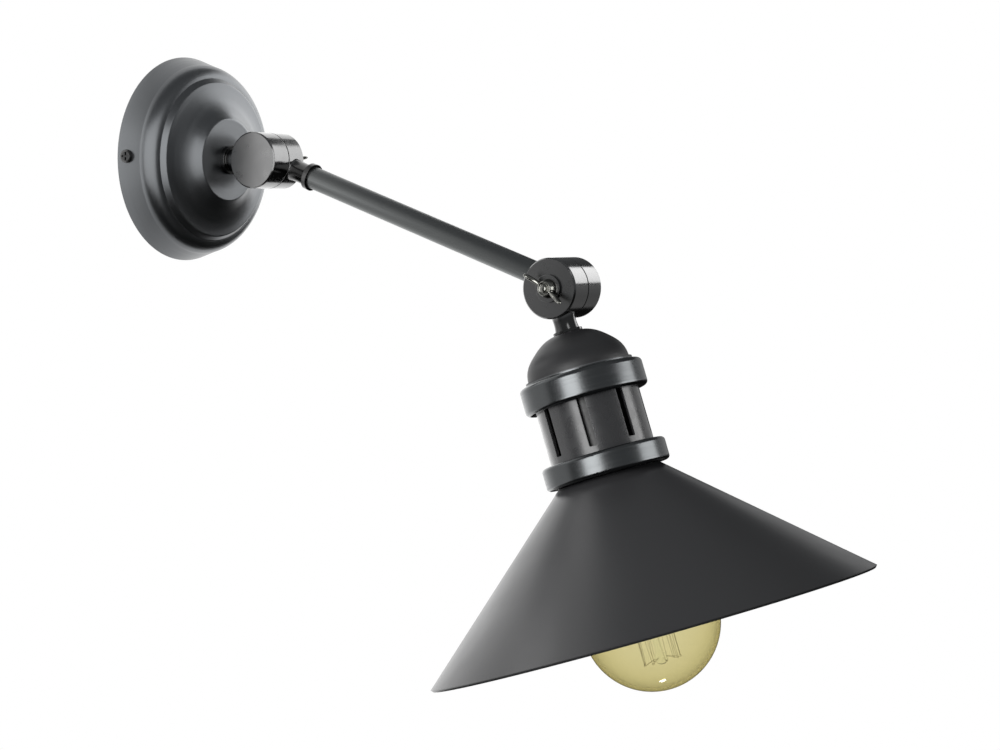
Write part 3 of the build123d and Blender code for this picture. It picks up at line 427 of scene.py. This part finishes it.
# %% Gunmetal
gunmetal, tree, shader = start_finish("satin gunmetal plate on spun steel", {
    "Base Color": colour("#656769"), "Metallic": 1.0,
})
place = axis_coordinates(tree, Vector((0, 0, 0)), Vector((0, -1, 0)))
flat = add_node(tree, "VectorMath", {0: place, 1: (1, 1, 0)}, operation="MULTIPLY")
radius = add_node(tree, "VectorMath", {0: flat.outputs[0]}, operation="LENGTH").outputs["Value"]
depth = add_node(tree, "SeparateXYZ", {0: place}).outputs["Z"]
profile = add_node(tree, "Math", {0: radius, 1: depth}, operation="ADD").outputs[0]
ringed = add_node(tree, "CombineXYZ", {"Z": profile}).outputs[0]
spun = add_node(tree, "VectorMath", {0: flat.outputs[0], 1: ringed}, operation="ADD").outputs[0]
rings = streaks(tree, spun, 40 * millimetre, 0.9 * millimetre)
tree.links.new(wander(tree, rings, 0.28, 0.35), shader.inputs["Roughness"])
mark_surface(tree, shader, rings, 0.003 * millimetre, 0.5 * millimetre)
put_finish(gunmetal, "canopy")
print(gunmetal.name)

# %% [markdown]
# ## Knuckles: polished black nickel
# The knuckles and their necks are turned and plated with black nickel, which mirrors like chrome but only
# a sixth as bright. On the necks the plate is painted darker still, to half of that. This is a painted shade
# that dims the strips' highlights there, since a flag can't keep a light off a neck that is one solid with
# its cup. Cup and neck are one solid, so the distance from the nearer cross axis tells them apart. Handling
# leaves a slight haze, so the roughness wanders a little.
# The flat ends were faced and not polished: they are duller than the round sides and free of their
# turning marks. The surface's own normal finds them, since they look along X. A bevel node breaks the
# edges in the shading, so that they catch a thin line of light.

# %% Black nickel
cup_end = 13.8 * millimetre
neck_start = 15.0 * millimetre
nearly_square, square = 0.96, 0.99

nickel, tree, shader = start_finish("polished black nickel plate", {"Metallic": 1.0})
point = add_node(tree, "TexCoord").outputs["Object"]
reach = []
for pivot in (upper_pivot, lower_pivot):
    apart = add_node(tree, "VectorMath", {0: point, 1: pivot}, operation="SUBTRACT")
    across = add_node(tree, "VectorMath", {0: apart.outputs[0], 1: (0, 1, 1)}, operation="MULTIPLY")
    reach.append(add_node(tree, "VectorMath", {0: across.outputs[0]}, operation="LENGTH").outputs["Value"])
nearest = add_node(tree, "Math", {0: reach[0], 1: reach[1]}, operation="MINIMUM").outputs[0]
# On the necks the plate is painted half as bright: a painted shade that dims their highlights.
shaded_neck = add_node(tree, "MapRange", {"Value": nearest, "From Min": cup_end, "From Max": neck_start})
plate = add_node(tree, "Mix", {
    "Factor": shaded_neck.outputs[0], colour_a: colour("#767676"), colour_b: colour("#505050"),
}, data_type="RGBA")
tree.links.new(plate.outputs[2], shader.inputs["Base Color"])
facing = add_node(tree, "SeparateXYZ", {0: add_node(tree, "TexCoord").outputs["Normal"]}).outputs["X"]
squareness = add_node(tree, "Math", {0: facing}, operation="ABSOLUTE").outputs[0]
flat_end = add_node(tree, "MapRange", {
    "Value": squareness, "From Min": nearly_square, "From Max": square,
}).outputs[0]
place = axis_coordinates(tree, lower_pivot, Vector((1, 0, 0)))
haze = add_node(tree, "TexNoise", {
    "Vector": place, "Scale": 1 / (6 * millimetre), "Detail": 4.0,
}).outputs[0]
dulled = add_node(tree, "Mix", {
    "Factor": flat_end,
    number_a: wander(tree, haze, 0.13, 0.2),
    number_b: wander(tree, haze, 0.26, 0.34),
})
tree.links.new(dulled.outputs[0], shader.inputs["Roughness"])
round_side = add_node(tree, "Math", {0: 1.0, 1: flat_end}, operation="SUBTRACT").outputs[0]
turned_marks = add_node(tree, "Math", {
    0: streaks(tree, place, 30 * millimetre, 0.5 * millimetre), 1: round_side,
}, operation="MULTIPLY")
mark_surface(tree, shader, turned_marks.outputs[0], 0.001 * millimetre, 0.4 * millimetre)
put_finish(
    nickel,
    "upper_knuckle_base", "upper_knuckle_arm", "lower_knuckle_arm", "lower_knuckle_head",
    "upper_wing_washer", "lower_wing_washer",
)
print(nickel.name)

# %% [markdown]
# ## Arm: satin grey lacquer on drawn tube
# The tube was drawn through a die, so any marks run along it, and the lacquer blurs them. The same noise
# as for the rings serves here, with its grain fine across the axis and long along it.

# %% Arm lacquer
arm_grey, tree, shader = start_finish("satin dark grey lacquer on drawn tube", {
    "Base Color": colour("#6a6c6c"), "Metallic": 1.0,
})
place = axis_coordinates(tree, upper_pivot, arm_axis)
lines = streaks(tree, place, 0.6 * millimetre, 40 * millimetre, detail=2.0)
tree.links.new(wander(tree, lines, 0.34, 0.42), shader.inputs["Roughness"])
mark_surface(tree, shader, lines, 0.003 * millimetre)
put_finish(arm_grey, "arm_tube")
print(arm_grey.name)

# %% [markdown]
# ## Shade: satin black powder coat
# Powder coat is a baked plastic skin. It is nearly black, it shines softly where the light grazes it, and
# it has a very fine orange peel, about half a millimetre from hump to hump. That is near the size of a
# pixel here, so the humps are drawn at 0.9 mm, and so shallow that they only soften the shine.

# %% Powder coat
coat, tree, shader = start_finish("satin black powder coat", {"Base Color": colour("#262627"), "IOR": 1.6})
place = add_node(tree, "TexCoord").outputs["Object"]
peel = add_node(tree, "TexNoise", {
    "Vector": place, "Scale": 1 / (0.9 * millimetre), "Detail": 1.0,
}).outputs[0]
clouds = add_node(tree, "TexNoise", {
    "Vector": place, "Scale": 1 / (25 * millimetre), "Detail": 3.0,
}).outputs[0]
tree.links.new(wander(tree, clouds, 0.28, 0.34), shader.inputs["Roughness"])
mark_surface(tree, shader, peel, 0.006 * millimetre, 0.8 * millimetre)
put_finish(coat, "shade")
print(coat.name)

# %% [markdown]
# ## Sleeve: satin black lacquer on steel
# The slotted sleeve is lacquered, which is smoother than powder: the soft boxes show on it as soft
# upright bars between the slots. Runs of the spray gun leave a faint unevenness of a few millimetres, and
# lacquer draws back from sharp edges, so the slots are rounded in the shading.

# %% Lacquer
lacquer, tree, shader = start_finish("satin black lacquer on steel tube", {
    "Base Color": colour("#1f1f20"), "IOR": 1.5, "Coat Weight": 0.6, "Coat Roughness": 0.25,
})
place = axis_coordinates(tree, lower_pivot, head_axis)
runs = add_node(tree, "TexNoise", {
    "Vector": place, "Scale": 1 / (4 * millimetre), "Detail": 0.0,
}).outputs[0]
tree.links.new(wander(tree, runs, 0.24, 0.32), shader.inputs["Roughness"])
mark_surface(tree, shader, runs, 0.01 * millimetre, 0.5 * millimetre)
put_finish(lacquer, "vent_sleeve", "shade_ring")
print(lacquer.name)

# %% [markdown]
# ## Cap and collar: brushed black aluminium
# The cap and the collar were turned, brushed round and black anodised. Brushing leaves fine grooves round
# the band, which spread a highlight across them and keep it narrow along them, so the shader is
# anisotropic with its tangent running round the axis. The grooves are about 0.1 mm apart and are drawn at
# 0.35 mm, so that they show. The dome above the band is sprayed satin black like the shade. Both are one
# solid, so a ramp along the axis divides them.

# %% Brushed bands
dome_end = 38.4 * millimetre
band_start = 39.0 * millimetre
dome_roughness = 0.42

brushed, tree, shader = start_finish("brushed black anodised aluminium", {"Anisotropic": 0.5})
place = axis_coordinates(tree, lower_pivot, head_axis)
along = add_node(tree, "SeparateXYZ", {0: place}).outputs["Z"]
on_band = add_node(tree, "MapRange", {"Value": along, "From Min": dome_end, "From Max": band_start})
skin = add_node(tree, "Mix", {
    "Factor": on_band.outputs[0], colour_a: colour("#181819"), colour_b: colour("#5d5f60"),
}, data_type="RGBA")
tree.links.new(skin.outputs[2], shader.inputs["Base Color"])
tree.links.new(on_band.outputs[0], shader.inputs["Metallic"])
brush = streaks(tree, place, 30 * millimetre, 0.35 * millimetre)
dulled = add_node(tree, "Mix", {
    "Factor": on_band.outputs[0], number_a: dome_roughness, number_b: wander(tree, brush, 0.19, 0.27),
})
tree.links.new(dulled.outputs[0], shader.inputs["Roughness"])
point = add_node(tree, "TexCoord").outputs["Object"]
apart = add_node(tree, "VectorMath", {0: point, 1: lower_pivot}, operation="SUBTRACT")
around = add_node(tree, "VectorMath", {0: apart.outputs[0], 1: head_axis}, operation="CROSS_PRODUCT")
tree.links.new(around.outputs[0], shader.inputs["Tangent"])
mark_surface(tree, shader, brush, 0.0025 * millimetre)
put_finish(brushed, "socket_cap", "shade_collar")
print(brushed.name)

# %% [markdown]
# ## Wing screws
# A wing screw is die cast and plated: a round hub with two ears that swell to their tips and flow into
# the hub. The solids have plain ears, and bevels alone would leave them stiff, so each is made again as a
# mesh. The hub is a turned outline and the ears are rounded by a subdivision surface. A voxel remesh then
# melts the three into one skin, and a few rounds of smoothing give the soft joins of a casting. All sizes
# here are in millimetres.

# %% Wing screw shape
hub_outline = [
    (0, 0), (4.3, 0), (4.35, 0.5), (4.1, 1.4), (3.6, 2.6), (3.3, 3.3), (2.9, 3.5), (2.5, 3.1), (1.9, 2.9),
    (1.8, 3.7), (1.3, 4.1), (0.6, 4.2), (0, 4.2),
]
ear_outline = [
    (2.4, 0.6), (5.2, 0.9), (8.2, 1.9), (10.6, 2.6), (11.9, 4.0), (11.6, 5.9), (9.6, 6.2), (7.6, 4.9),
    (5.2, 3.5), (2.4, 3.2),
]
ear_thickness = [1.5, 1.1, 0.95, 1.05, 1.15, 1.15, 1.1, 0.95, 1.1, 1.5]
hub_steps = 40
ear_rounding = 3
voxel = 0.2
soft_rounds = 6
same_point = 0.0001


def shape_to_mesh(shape, name, dress):
    """The mesh of a bmesh after the modifiers that dress gives its object."""
    plain = bpy.data.meshes.new(name)
    shape.to_mesh(plain)
    shape.free()
    maker = put_in_scene(name, plain)
    dress(maker)
    made = bpy.data.meshes.new_from_object(maker.evaluated_get(bpy.context.evaluated_depsgraph_get()))
    bpy.data.objects.remove(maker)
    return made


def round_off(maker):
    """Rounds a coarse shell with a subdivision surface."""
    maker.modifiers.new("round", "SUBSURF").levels = ear_rounding


def melt(maker):
    """Joins overlapping shells into one smooth skin."""
    joined = maker.modifiers.new("join", "REMESH")
    joined.mode = "VOXEL"
    joined.voxel_size = voxel
    maker.modifiers.new("soften", "SMOOTH").iterations = soft_rounds


def turned_hub(shape):
    """Adds the hub, turned from its outline, to a bmesh."""
    rows = []
    for radius, height in hub_outline:
        turns = [2 * pi * step / hub_steps for step in range(hub_steps)]
        rows.append([shape.verts.new((radius * cos(turn), radius * sin(turn), height)) for turn in turns])
    for lower, upper in zip(rows, rows[1:]):
        for step in range(hub_steps):
            after = (step + 1) % hub_steps
            shape.faces.new((lower[step], lower[after], upper[after], upper[step]))


def rounded_ear(side):
    """One ear as a mesh, rounded by a subdivision surface."""
    shape = bmesh.new()
    rim = [(side * out, up, half) for (out, up), half in zip(ear_outline, ear_thickness)]
    front = [shape.verts.new((out, half, up)) for out, up, half in rim]
    back = [shape.verts.new((out, -half, up)) for out, up, half in rim]
    shape.faces.new(front)
    shape.faces.new(back[::-1])
    for number in range(len(front)):
        after = (number + 1) % len(front)
        shape.faces.new((front[number], back[number], back[after], front[after]))
    bmesh.ops.recalc_face_normals(shape, faces=shape.faces)
    return shape_to_mesh(shape, "ear", round_off)


cast = bmesh.new()
turned_hub(cast)
for side in (-1, 1):
    cast.from_mesh(rounded_ear(side))
bmesh.ops.remove_doubles(cast, verts=cast.verts, dist=same_point)
cast_mesh = shape_to_mesh(cast, "wing screw", melt)
print("wing screw:", len(cast_mesh.vertices), "points")

# %% [markdown]
# Both screws use that one shape, and its nickel plate is brighter than the knuckles' and worn uneven by
# fingers. Each screw stands on its washer, which gives the place, and its ears lie along a direction in
# the washer's plane. The piece replaces its solid and turns with the same screw.

# %% Place the wing screws
upper_ear_angle = 12.0
lower_ear_angle = -32.0

plated, tree, shader = start_finish("bright nickel plate on zinc casting", {
    "Base Color": colour("#84847f"), "Metallic": 1.0,
})
place = add_node(tree, "TexCoord").outputs["Object"]
handled = add_node(tree, "TexNoise", {
    "Vector": place, "Scale": 1 / (2.5 * millimetre), "Detail": 3.0,
}).outputs[0]
tree.links.new(wander(tree, handled, 0.14, 0.26), shader.inputs["Roughness"])
mark_surface(tree, shader, handled, 0.03 * millimetre)


def place_wing_screw(name, node, body, washer, outward, ear_angle):
    """Puts the cast shape on its washer, with its ears along an angle, in place of the solid."""
    low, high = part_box(washer)
    seat = (low + high) / 2
    seat.x = high.x if outward > 0 else low.x
    ears = Vector((0, -cos(radians(ear_angle)), sin(radians(ear_angle))))
    axis = Vector((outward, 0, 0))
    mesh = cast_mesh.copy()
    mesh.name = name
    for point in mesh.vertices:
        ear, thick, up = point.co
        point.co = seat + millimetre * (ear * ears + thick * axis.cross(ears) + up * axis)
    for face in mesh.polygons:
        face.use_smooth = True
    mesh.materials.clear()
    mesh.materials.append(plated)
    piece = put_in_scene(name, mesh)
    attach(piece, body)
    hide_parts(node)
    return piece


wings = [
    place_wing_screw(
        "cast_upper_wing_screw", "upper_wing_screw", "upper_screw", "upper_wing_washer", 1, upper_ear_angle,
    ),
    place_wing_screw(
        "cast_lower_wing_screw", "lower_wing_screw", "lower_screw", "lower_wing_washer", -1, lower_ear_angle,
    ),
]
print([piece.name for piece in wings])

# %% [markdown]
# ## Lamp: amber glass and a clear stem
# The globe is blown glass with an amber tint all through its thin wall. A tinted surface would look the
# same all over, so the tint is given as absorption inside the wall: the edge of the globe, where the eye
# looks along the wall, comes out darker than its middle. Blown glass is never quite even, so faint waves,
# 14 mm from crest to crest, bend what is seen through it. The stem inside is clear glass drawn along its
# axis. A real stem is a hollow tube and its solid is full, so an IOR near that of air keeps it from
# working as a lens.

# %% Lamp glass
amber, tree, shader = start_finish("amber blown glass", {
    "Base Color": white, "Roughness": 0.0, "IOR": 1.5, "Transmission Weight": 1.0,
})
tint = add_node(tree, "VolumeAbsorption", {"Color": colour("#dcd050"), "Density": 744.0})
tree.links.new(tint.outputs[0], tree.nodes["Material Output"].inputs["Volume"])
place = add_node(tree, "TexCoord").outputs["Object"]
waves = add_node(tree, "TexNoise", {
    "Vector": place, "Scale": 1 / (14 * millimetre), "Detail": 1.0,
}).outputs[0]
mark_surface(tree, shader, waves, 0.02 * millimetre)
put_finish(amber, "lamp_globe")

clear, tree, shader = start_finish("clear drawn glass", {
    "Base Color": colour("#fbfdfb"), "Roughness": 0.0, "IOR": 1.06, "Transmission Weight": 1.0,
})
place = axis_coordinates(tree, lower_pivot, head_axis)
mark_surface(tree, shader, streaks(tree, place, 3 * millimetre, 25 * millimetre), 0.01 * millimetre)
put_finish(clear, "lamp_stem")
print(amber.name, "and", clear.name)

# %% [markdown]
# ## Filament
# The cage is one fine carbon wire, bent to and fro between hooks in a crown of narrow V shapes. It is far
# thinner than a solid can usefully be, so here it is a curve with a round bevel. It keeps the places of
# the bends, where the hooks hold it. Carbon is brown and dull, with a grain from the fibre that it was
# burnt from.

# %% Filament wire
cage_radius = 8.25
cage_top, cage_bottom = 126.5, 169.5
cage_lines = 16
cage_step = 2 * pi / (cage_lines + 1)
wire_radius = 0.07
bend_half_turn = 0.05
head_across = Vector((1, 0, 0))
head_out = head_axis.cross(head_across)


def cage_point(turn, level):
    """A point of the cage, by its turn round the head's axis and its distance down it, in millimetres."""
    across = cos(turn) * head_across + sin(turn) * head_out
    return lower_pivot + millimetre * (cage_radius * across + level * head_axis)


def cage_bend(number):
    """The turn of a bend round the axis, its distance down it, and 1 at the bottom or -1 at the top."""
    at_bottom = number % 2 == 0
    return (number + 0.5) * cage_step, cage_bottom if at_bottom else cage_top, 1 if at_bottom else -1


def start_wire(name, radius):
    """A curve with a round bevel of a radius in millimetres and closed ends."""
    curve = bpy.data.curves.new(name, "CURVE")
    curve.dimensions = "3D"
    curve.bevel_depth = radius * millimetre
    curve.bevel_resolution = 2
    curve.use_fill_caps = True
    return curve


route = [cage_point(0, cage_top)]
for number in range(cage_lines - 1):
    turn, level, away = cage_bend(number)
    route += [cage_point(turn - bend_half_turn, level), cage_point(turn + bend_half_turn, level)]
route.append(cage_point((cage_lines - 1) * cage_step, cage_top))
wire_curve = start_wire("cage_filament", wire_radius)
line = wire_curve.splines.new("POLY")
line.points.add(len(route) - 1)
for point, spot in zip(line.points, route):
    point.co = (*spot, 1)

carbon, tree, shader = start_finish("drawn carbon wire", {"Base Color": colour("#7a6238"), "Metallic": 0.4})
place = add_node(tree, "TexCoord").outputs["Object"]
grain = add_node(tree, "TexNoise", {"Vector": place, "Scale": 1 / (1.5 * millimetre)}).outputs[0]
tree.links.new(wander(tree, grain, 0.4, 0.6), shader.inputs["Roughness"])
wire_curve.materials.append(carbon)
filament = put_in_scene("cage_filament", wire_curve)
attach(filament, "lamp")
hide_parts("filament")
print("filament bends:", cage_lines - 1)

# %% [markdown]
# Each bend hangs on a hook of thin molybdenum wire that comes out of a glass bead on the stem. The solids
# are plain spokes, so the hooks are made again as curves: straight out from the bead, then once round the
# filament. Each point of a hook is given by its distance from the axis and how far it lies past the bend,
# in millimetres. Drawn molybdenum is a pale grey metal with fine marks of the die.

# %% Filament hooks
hook_radius = 0.06
bead_surface = 2.8
bead_drop = 1.5
hook_outline = [
    (bead_surface, -bead_drop), (cage_radius - 1.2, -0.2), (cage_radius - 0.3, 0.3),
    (cage_radius + 0.4, 0.5), (cage_radius + 0.6, -0.2), (cage_radius, -0.5), (cage_radius - 0.4, -0.3),
]

hook_curve = start_wire("filament_hooks", hook_radius)
for number in range(cage_lines - 1):
    turn, level, away = cage_bend(number)
    outward = cos(turn) * head_across + sin(turn) * head_out
    middle = lower_pivot + millimetre * level * head_axis
    hook = hook_curve.splines.new("NURBS")
    hook.points.add(len(hook_outline) - 1)
    for point, (out, past) in zip(hook.points, hook_outline):
        point.co = (*(middle + millimetre * (out * outward + away * past * head_axis)), 1)
    hook.use_endpoint_u = True
    hook.order_u = 3

molybdenum, tree, shader = start_finish("drawn molybdenum wire", {
    "Base Color": colour("#b5a984"), "Metallic": 0.6,
})
place = add_node(tree, "TexCoord").outputs["Object"]
drawn_marks = add_node(tree, "TexNoise", {"Vector": place, "Scale": 1 / (0.8 * millimetre)}).outputs[0]
tree.links.new(wander(tree, drawn_marks, 0.3, 0.5), shader.inputs["Roughness"])
hook_curve.materials.append(molybdenum)
hooks = put_in_scene("filament_hooks", hook_curve)
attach(hooks, "lamp")
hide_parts("filament_anchors")
print("filament hooks:", len(hook_curve.splines))

# %% [markdown]
# ## Fittings inside
# Behind the canopy and in the head are the parts that carry the supply. They show through the slots, from
# under the shade and from behind, so each gets the finish that it has in the trade. Zinc plate has a
# milky, patchy bloom. Turned brass is yellow with a fine unevenness, nickelled brass is paler and
# shinier, and blackened steel has an oily sheen. One function makes them all, since they differ only in
# numbers.

# %% Plated and turned metals
metal_swing = 0.07


def metal_finish(name, code, rough, size, depth):
    """A metal whose roughness wanders over patches of a size, with marks of a depth, both in metres."""
    material, tree, shader = start_finish(name, {"Base Color": colour(code), "Metallic": 1.0})
    place = add_node(tree, "TexCoord").outputs["Object"]
    patches = add_node(tree, "TexNoise", {"Vector": place, "Scale": 1 / size, "Detail": 4.0}).outputs[0]
    patchy = wander(tree, patches, rough - metal_swing, rough + metal_swing)
    tree.links.new(patchy, shader.inputs["Roughness"])
    mark_surface(tree, shader, patches, depth)
    return material


zinc = metal_finish("zinc plated pressed steel", "#a9adb0", 0.4, 3 * millimetre, 0.02 * millimetre)
put_finish(zinc, "wall_bracket", "terminal_fixing_screw", "canopy_lock_washer", "cap_lock_washer")
brass = metal_finish("turned brass", "#c9a45c", 0.28, 1.5 * millimetre, 0.01 * millimetre)
put_finish(
    brass,
    "terminal_screws", "earth_screw", "earth_washer", "lampholder_terminal_screws", "canopy_lock_nut",
    "cap_lock_nut", "centre_contact", "lamp_tip_contact",
)
blackened = metal_finish("oil blackened steel", "#4a4a4a", 0.32, 1.5 * millimetre, 0.02 * millimetre)
put_finish(blackened, "canopy_side_screws")
nickelled = metal_finish("nickel plated rolled brass", "#b9b2a4", 0.22, 2 * millimetre, 0.01 * millimetre)
put_finish(nickelled, "screw_shell", "lamp_base")
print([metal.name for metal in (zinc, brass, blackened, nickelled)])

# %% [markdown]
# The insulating parts are moulded or pressed. Polyamide is a waxy white, pressed fibre is dull and rough,
# phenolic is black with a soft shine, and the pressed glass round the lamp's tip is black and glossy.

# %% Moulded and pressed parts
moulded_swing = 0.06


def moulded_finish(name, code, rough, size, depth):
    """A plastic or pressed board with a fine grain of a size and depth in metres."""
    material, tree, shader = start_finish(name, {"Base Color": colour(code), "IOR": 1.5})
    place = add_node(tree, "TexCoord").outputs["Object"]
    grain = add_node(tree, "TexNoise", {"Vector": place, "Scale": 1 / size, "Detail": 2.0}).outputs[0]
    grained = wander(tree, grain, rough - moulded_swing, rough + moulded_swing)
    tree.links.new(grained, shader.inputs["Roughness"])
    mark_surface(tree, shader, grain, depth)
    return material


polyamide = moulded_finish("white moulded polyamide", "#e9e7df", 0.45, 0.8 * millimetre, 0.01 * millimetre)
put_finish(polyamide, "terminal_block")
fibre = moulded_finish("black pressed fibre", "#1d1c1b", 0.7, 0.4 * millimetre, 0.03 * millimetre)
put_finish(fibre, "upper_friction_washer", "lower_friction_washer")
phenolic = moulded_finish("black moulded phenolic", "#161515", 0.35, 1.2 * millimetre, 0.01 * millimetre)
put_finish(phenolic, "lampholder_cap", "lampholder_body")
vitrite = moulded_finish("black pressed glass", "#120f14", 0.12, 2 * millimetre, 0.02 * millimetre)
put_finish(vitrite, "lamp_insulator")
print([moulded.name for moulded in (polyamide, fibre, phenolic, vitrite)])

# %% [markdown]
# The supply cores have a skin of extruded PVC, soft and half matt. They are brown and blue, side by side
# in one node, so the colour is chosen by the side of the lamp's middle plane that a point lies on. The
# earth core is green with yellow stripes. A wave texture gives them, and its phase grows by 20 for each
# unit at a scale of 1, so its scale is worked out from the pitch of the stripes.

# %% Insulated cores
stripe_pitch = 15.08 * millimetre
wave_phase = 20


def extruded_skin(tree, shader):
    """Fine chatter of the die, 0.7 mm from mark to mark, in the roughness and pressed in."""
    place = add_node(tree, "TexCoord").outputs["Object"]
    chatter = add_node(tree, "TexNoise", {"Vector": place, "Scale": 1 / (0.7 * millimetre)}).outputs[0]
    tree.links.new(wander(tree, chatter, 0.34, 0.46), shader.inputs["Roughness"])
    mark_surface(tree, shader, chatter, 0.01 * millimetre)


cores, tree, shader = start_finish("brown and blue extruded PVC", {})
across = add_node(tree, "SeparateXYZ", {0: add_node(tree, "TexCoord").outputs["Object"]}).outputs["X"]
on_right = add_node(tree, "Math", {0: across, 1: 0.0}, operation="GREATER_THAN")
sheath = add_node(tree, "Mix", {
    "Factor": on_right.outputs[0], colour_a: colour("#5b3520"), colour_b: colour("#2c5f9e"),
}, data_type="RGBA")
tree.links.new(sheath.outputs[2], shader.inputs["Base Color"])
extruded_skin(tree, shader)
put_finish(cores, "supply_leads", "arm_leads", "head_leads")

earth, tree, shader = start_finish("green and yellow extruded PVC", {})
stripe = add_node(tree, "TexWave", {
    "Vector": add_node(tree, "TexCoord").outputs["Object"],
    "Scale": 2 * pi / (wave_phase * stripe_pitch),
})
striped = add_node(tree, "Math", {0: stripe.outputs["Fac"], 1: 0.5}, operation="GREATER_THAN")
sheath = add_node(tree, "Mix", {
    "Factor": striped.outputs[0], colour_a: colour("#3f8a3c"), colour_b: colour("#e2c92d"),
}, data_type="RGBA")
tree.links.new(sheath.outputs[2], shader.inputs["Base Color"])
extruded_skin(tree, shader)
put_finish(earth, "earth_lead")
print(cores.name, "and", earth.name)

# %% [markdown]
# ## Flags
# A photographer keeps a light off a surface with a flag, a black card on a stand, so that each piece gets
# only the highlights that show its shape. Light linking does the same here: a light reaches only the
# pieces in its collection. The panels are kept to the metal at the wall, the strips and cards to the
# knuckle or the head that they are meant for, and only the left fill reaches every piece. The board is
# linked the other way round, by a collection that it leaves out: mirrored in the globe, it would melt the
# globe's edge into the white background.

# %% Set the flags


def flag(light, names, pieces=()):
    """Keeps a light to some solids and other pieces, and returns their collection."""
    lit_only = bpy.data.collections.new(light.name + " lights")
    for lit in [*(frame["nodes"][name] for name in names), *pieces]:
        lit_only.objects.link(lit)
    light.light_linking.receiver_collection = lit_only
    return lit_only


wall_metal = ["canopy", "upper_knuckle_base", "upper_knuckle_arm"]
lower_metal = ["lower_knuckle_arm", "lower_knuckle_head"]
head_metal = ["socket_cap", "vent_sleeve", "shade_collar", "lampholder_cap", "lampholder_body"]
flag(left_panel, wall_metal)
flag(right_panel, wall_metal)
flag(left_strip, head_metal, wings)
flag(front_strip, head_metal, wings)
flag(right_strip, lower_metal, wings)
flag(right_card, lower_metal)
flag(neck_lamp, lower_metal)
flag(head_card, head_metal + ["shade"])
flag(low_lamp, ["lamp_globe"])
kept_off = flag(board, ["lamp_globe"])
kept_off.collection_objects[0].light_linking.link_state = "EXCLUDE"
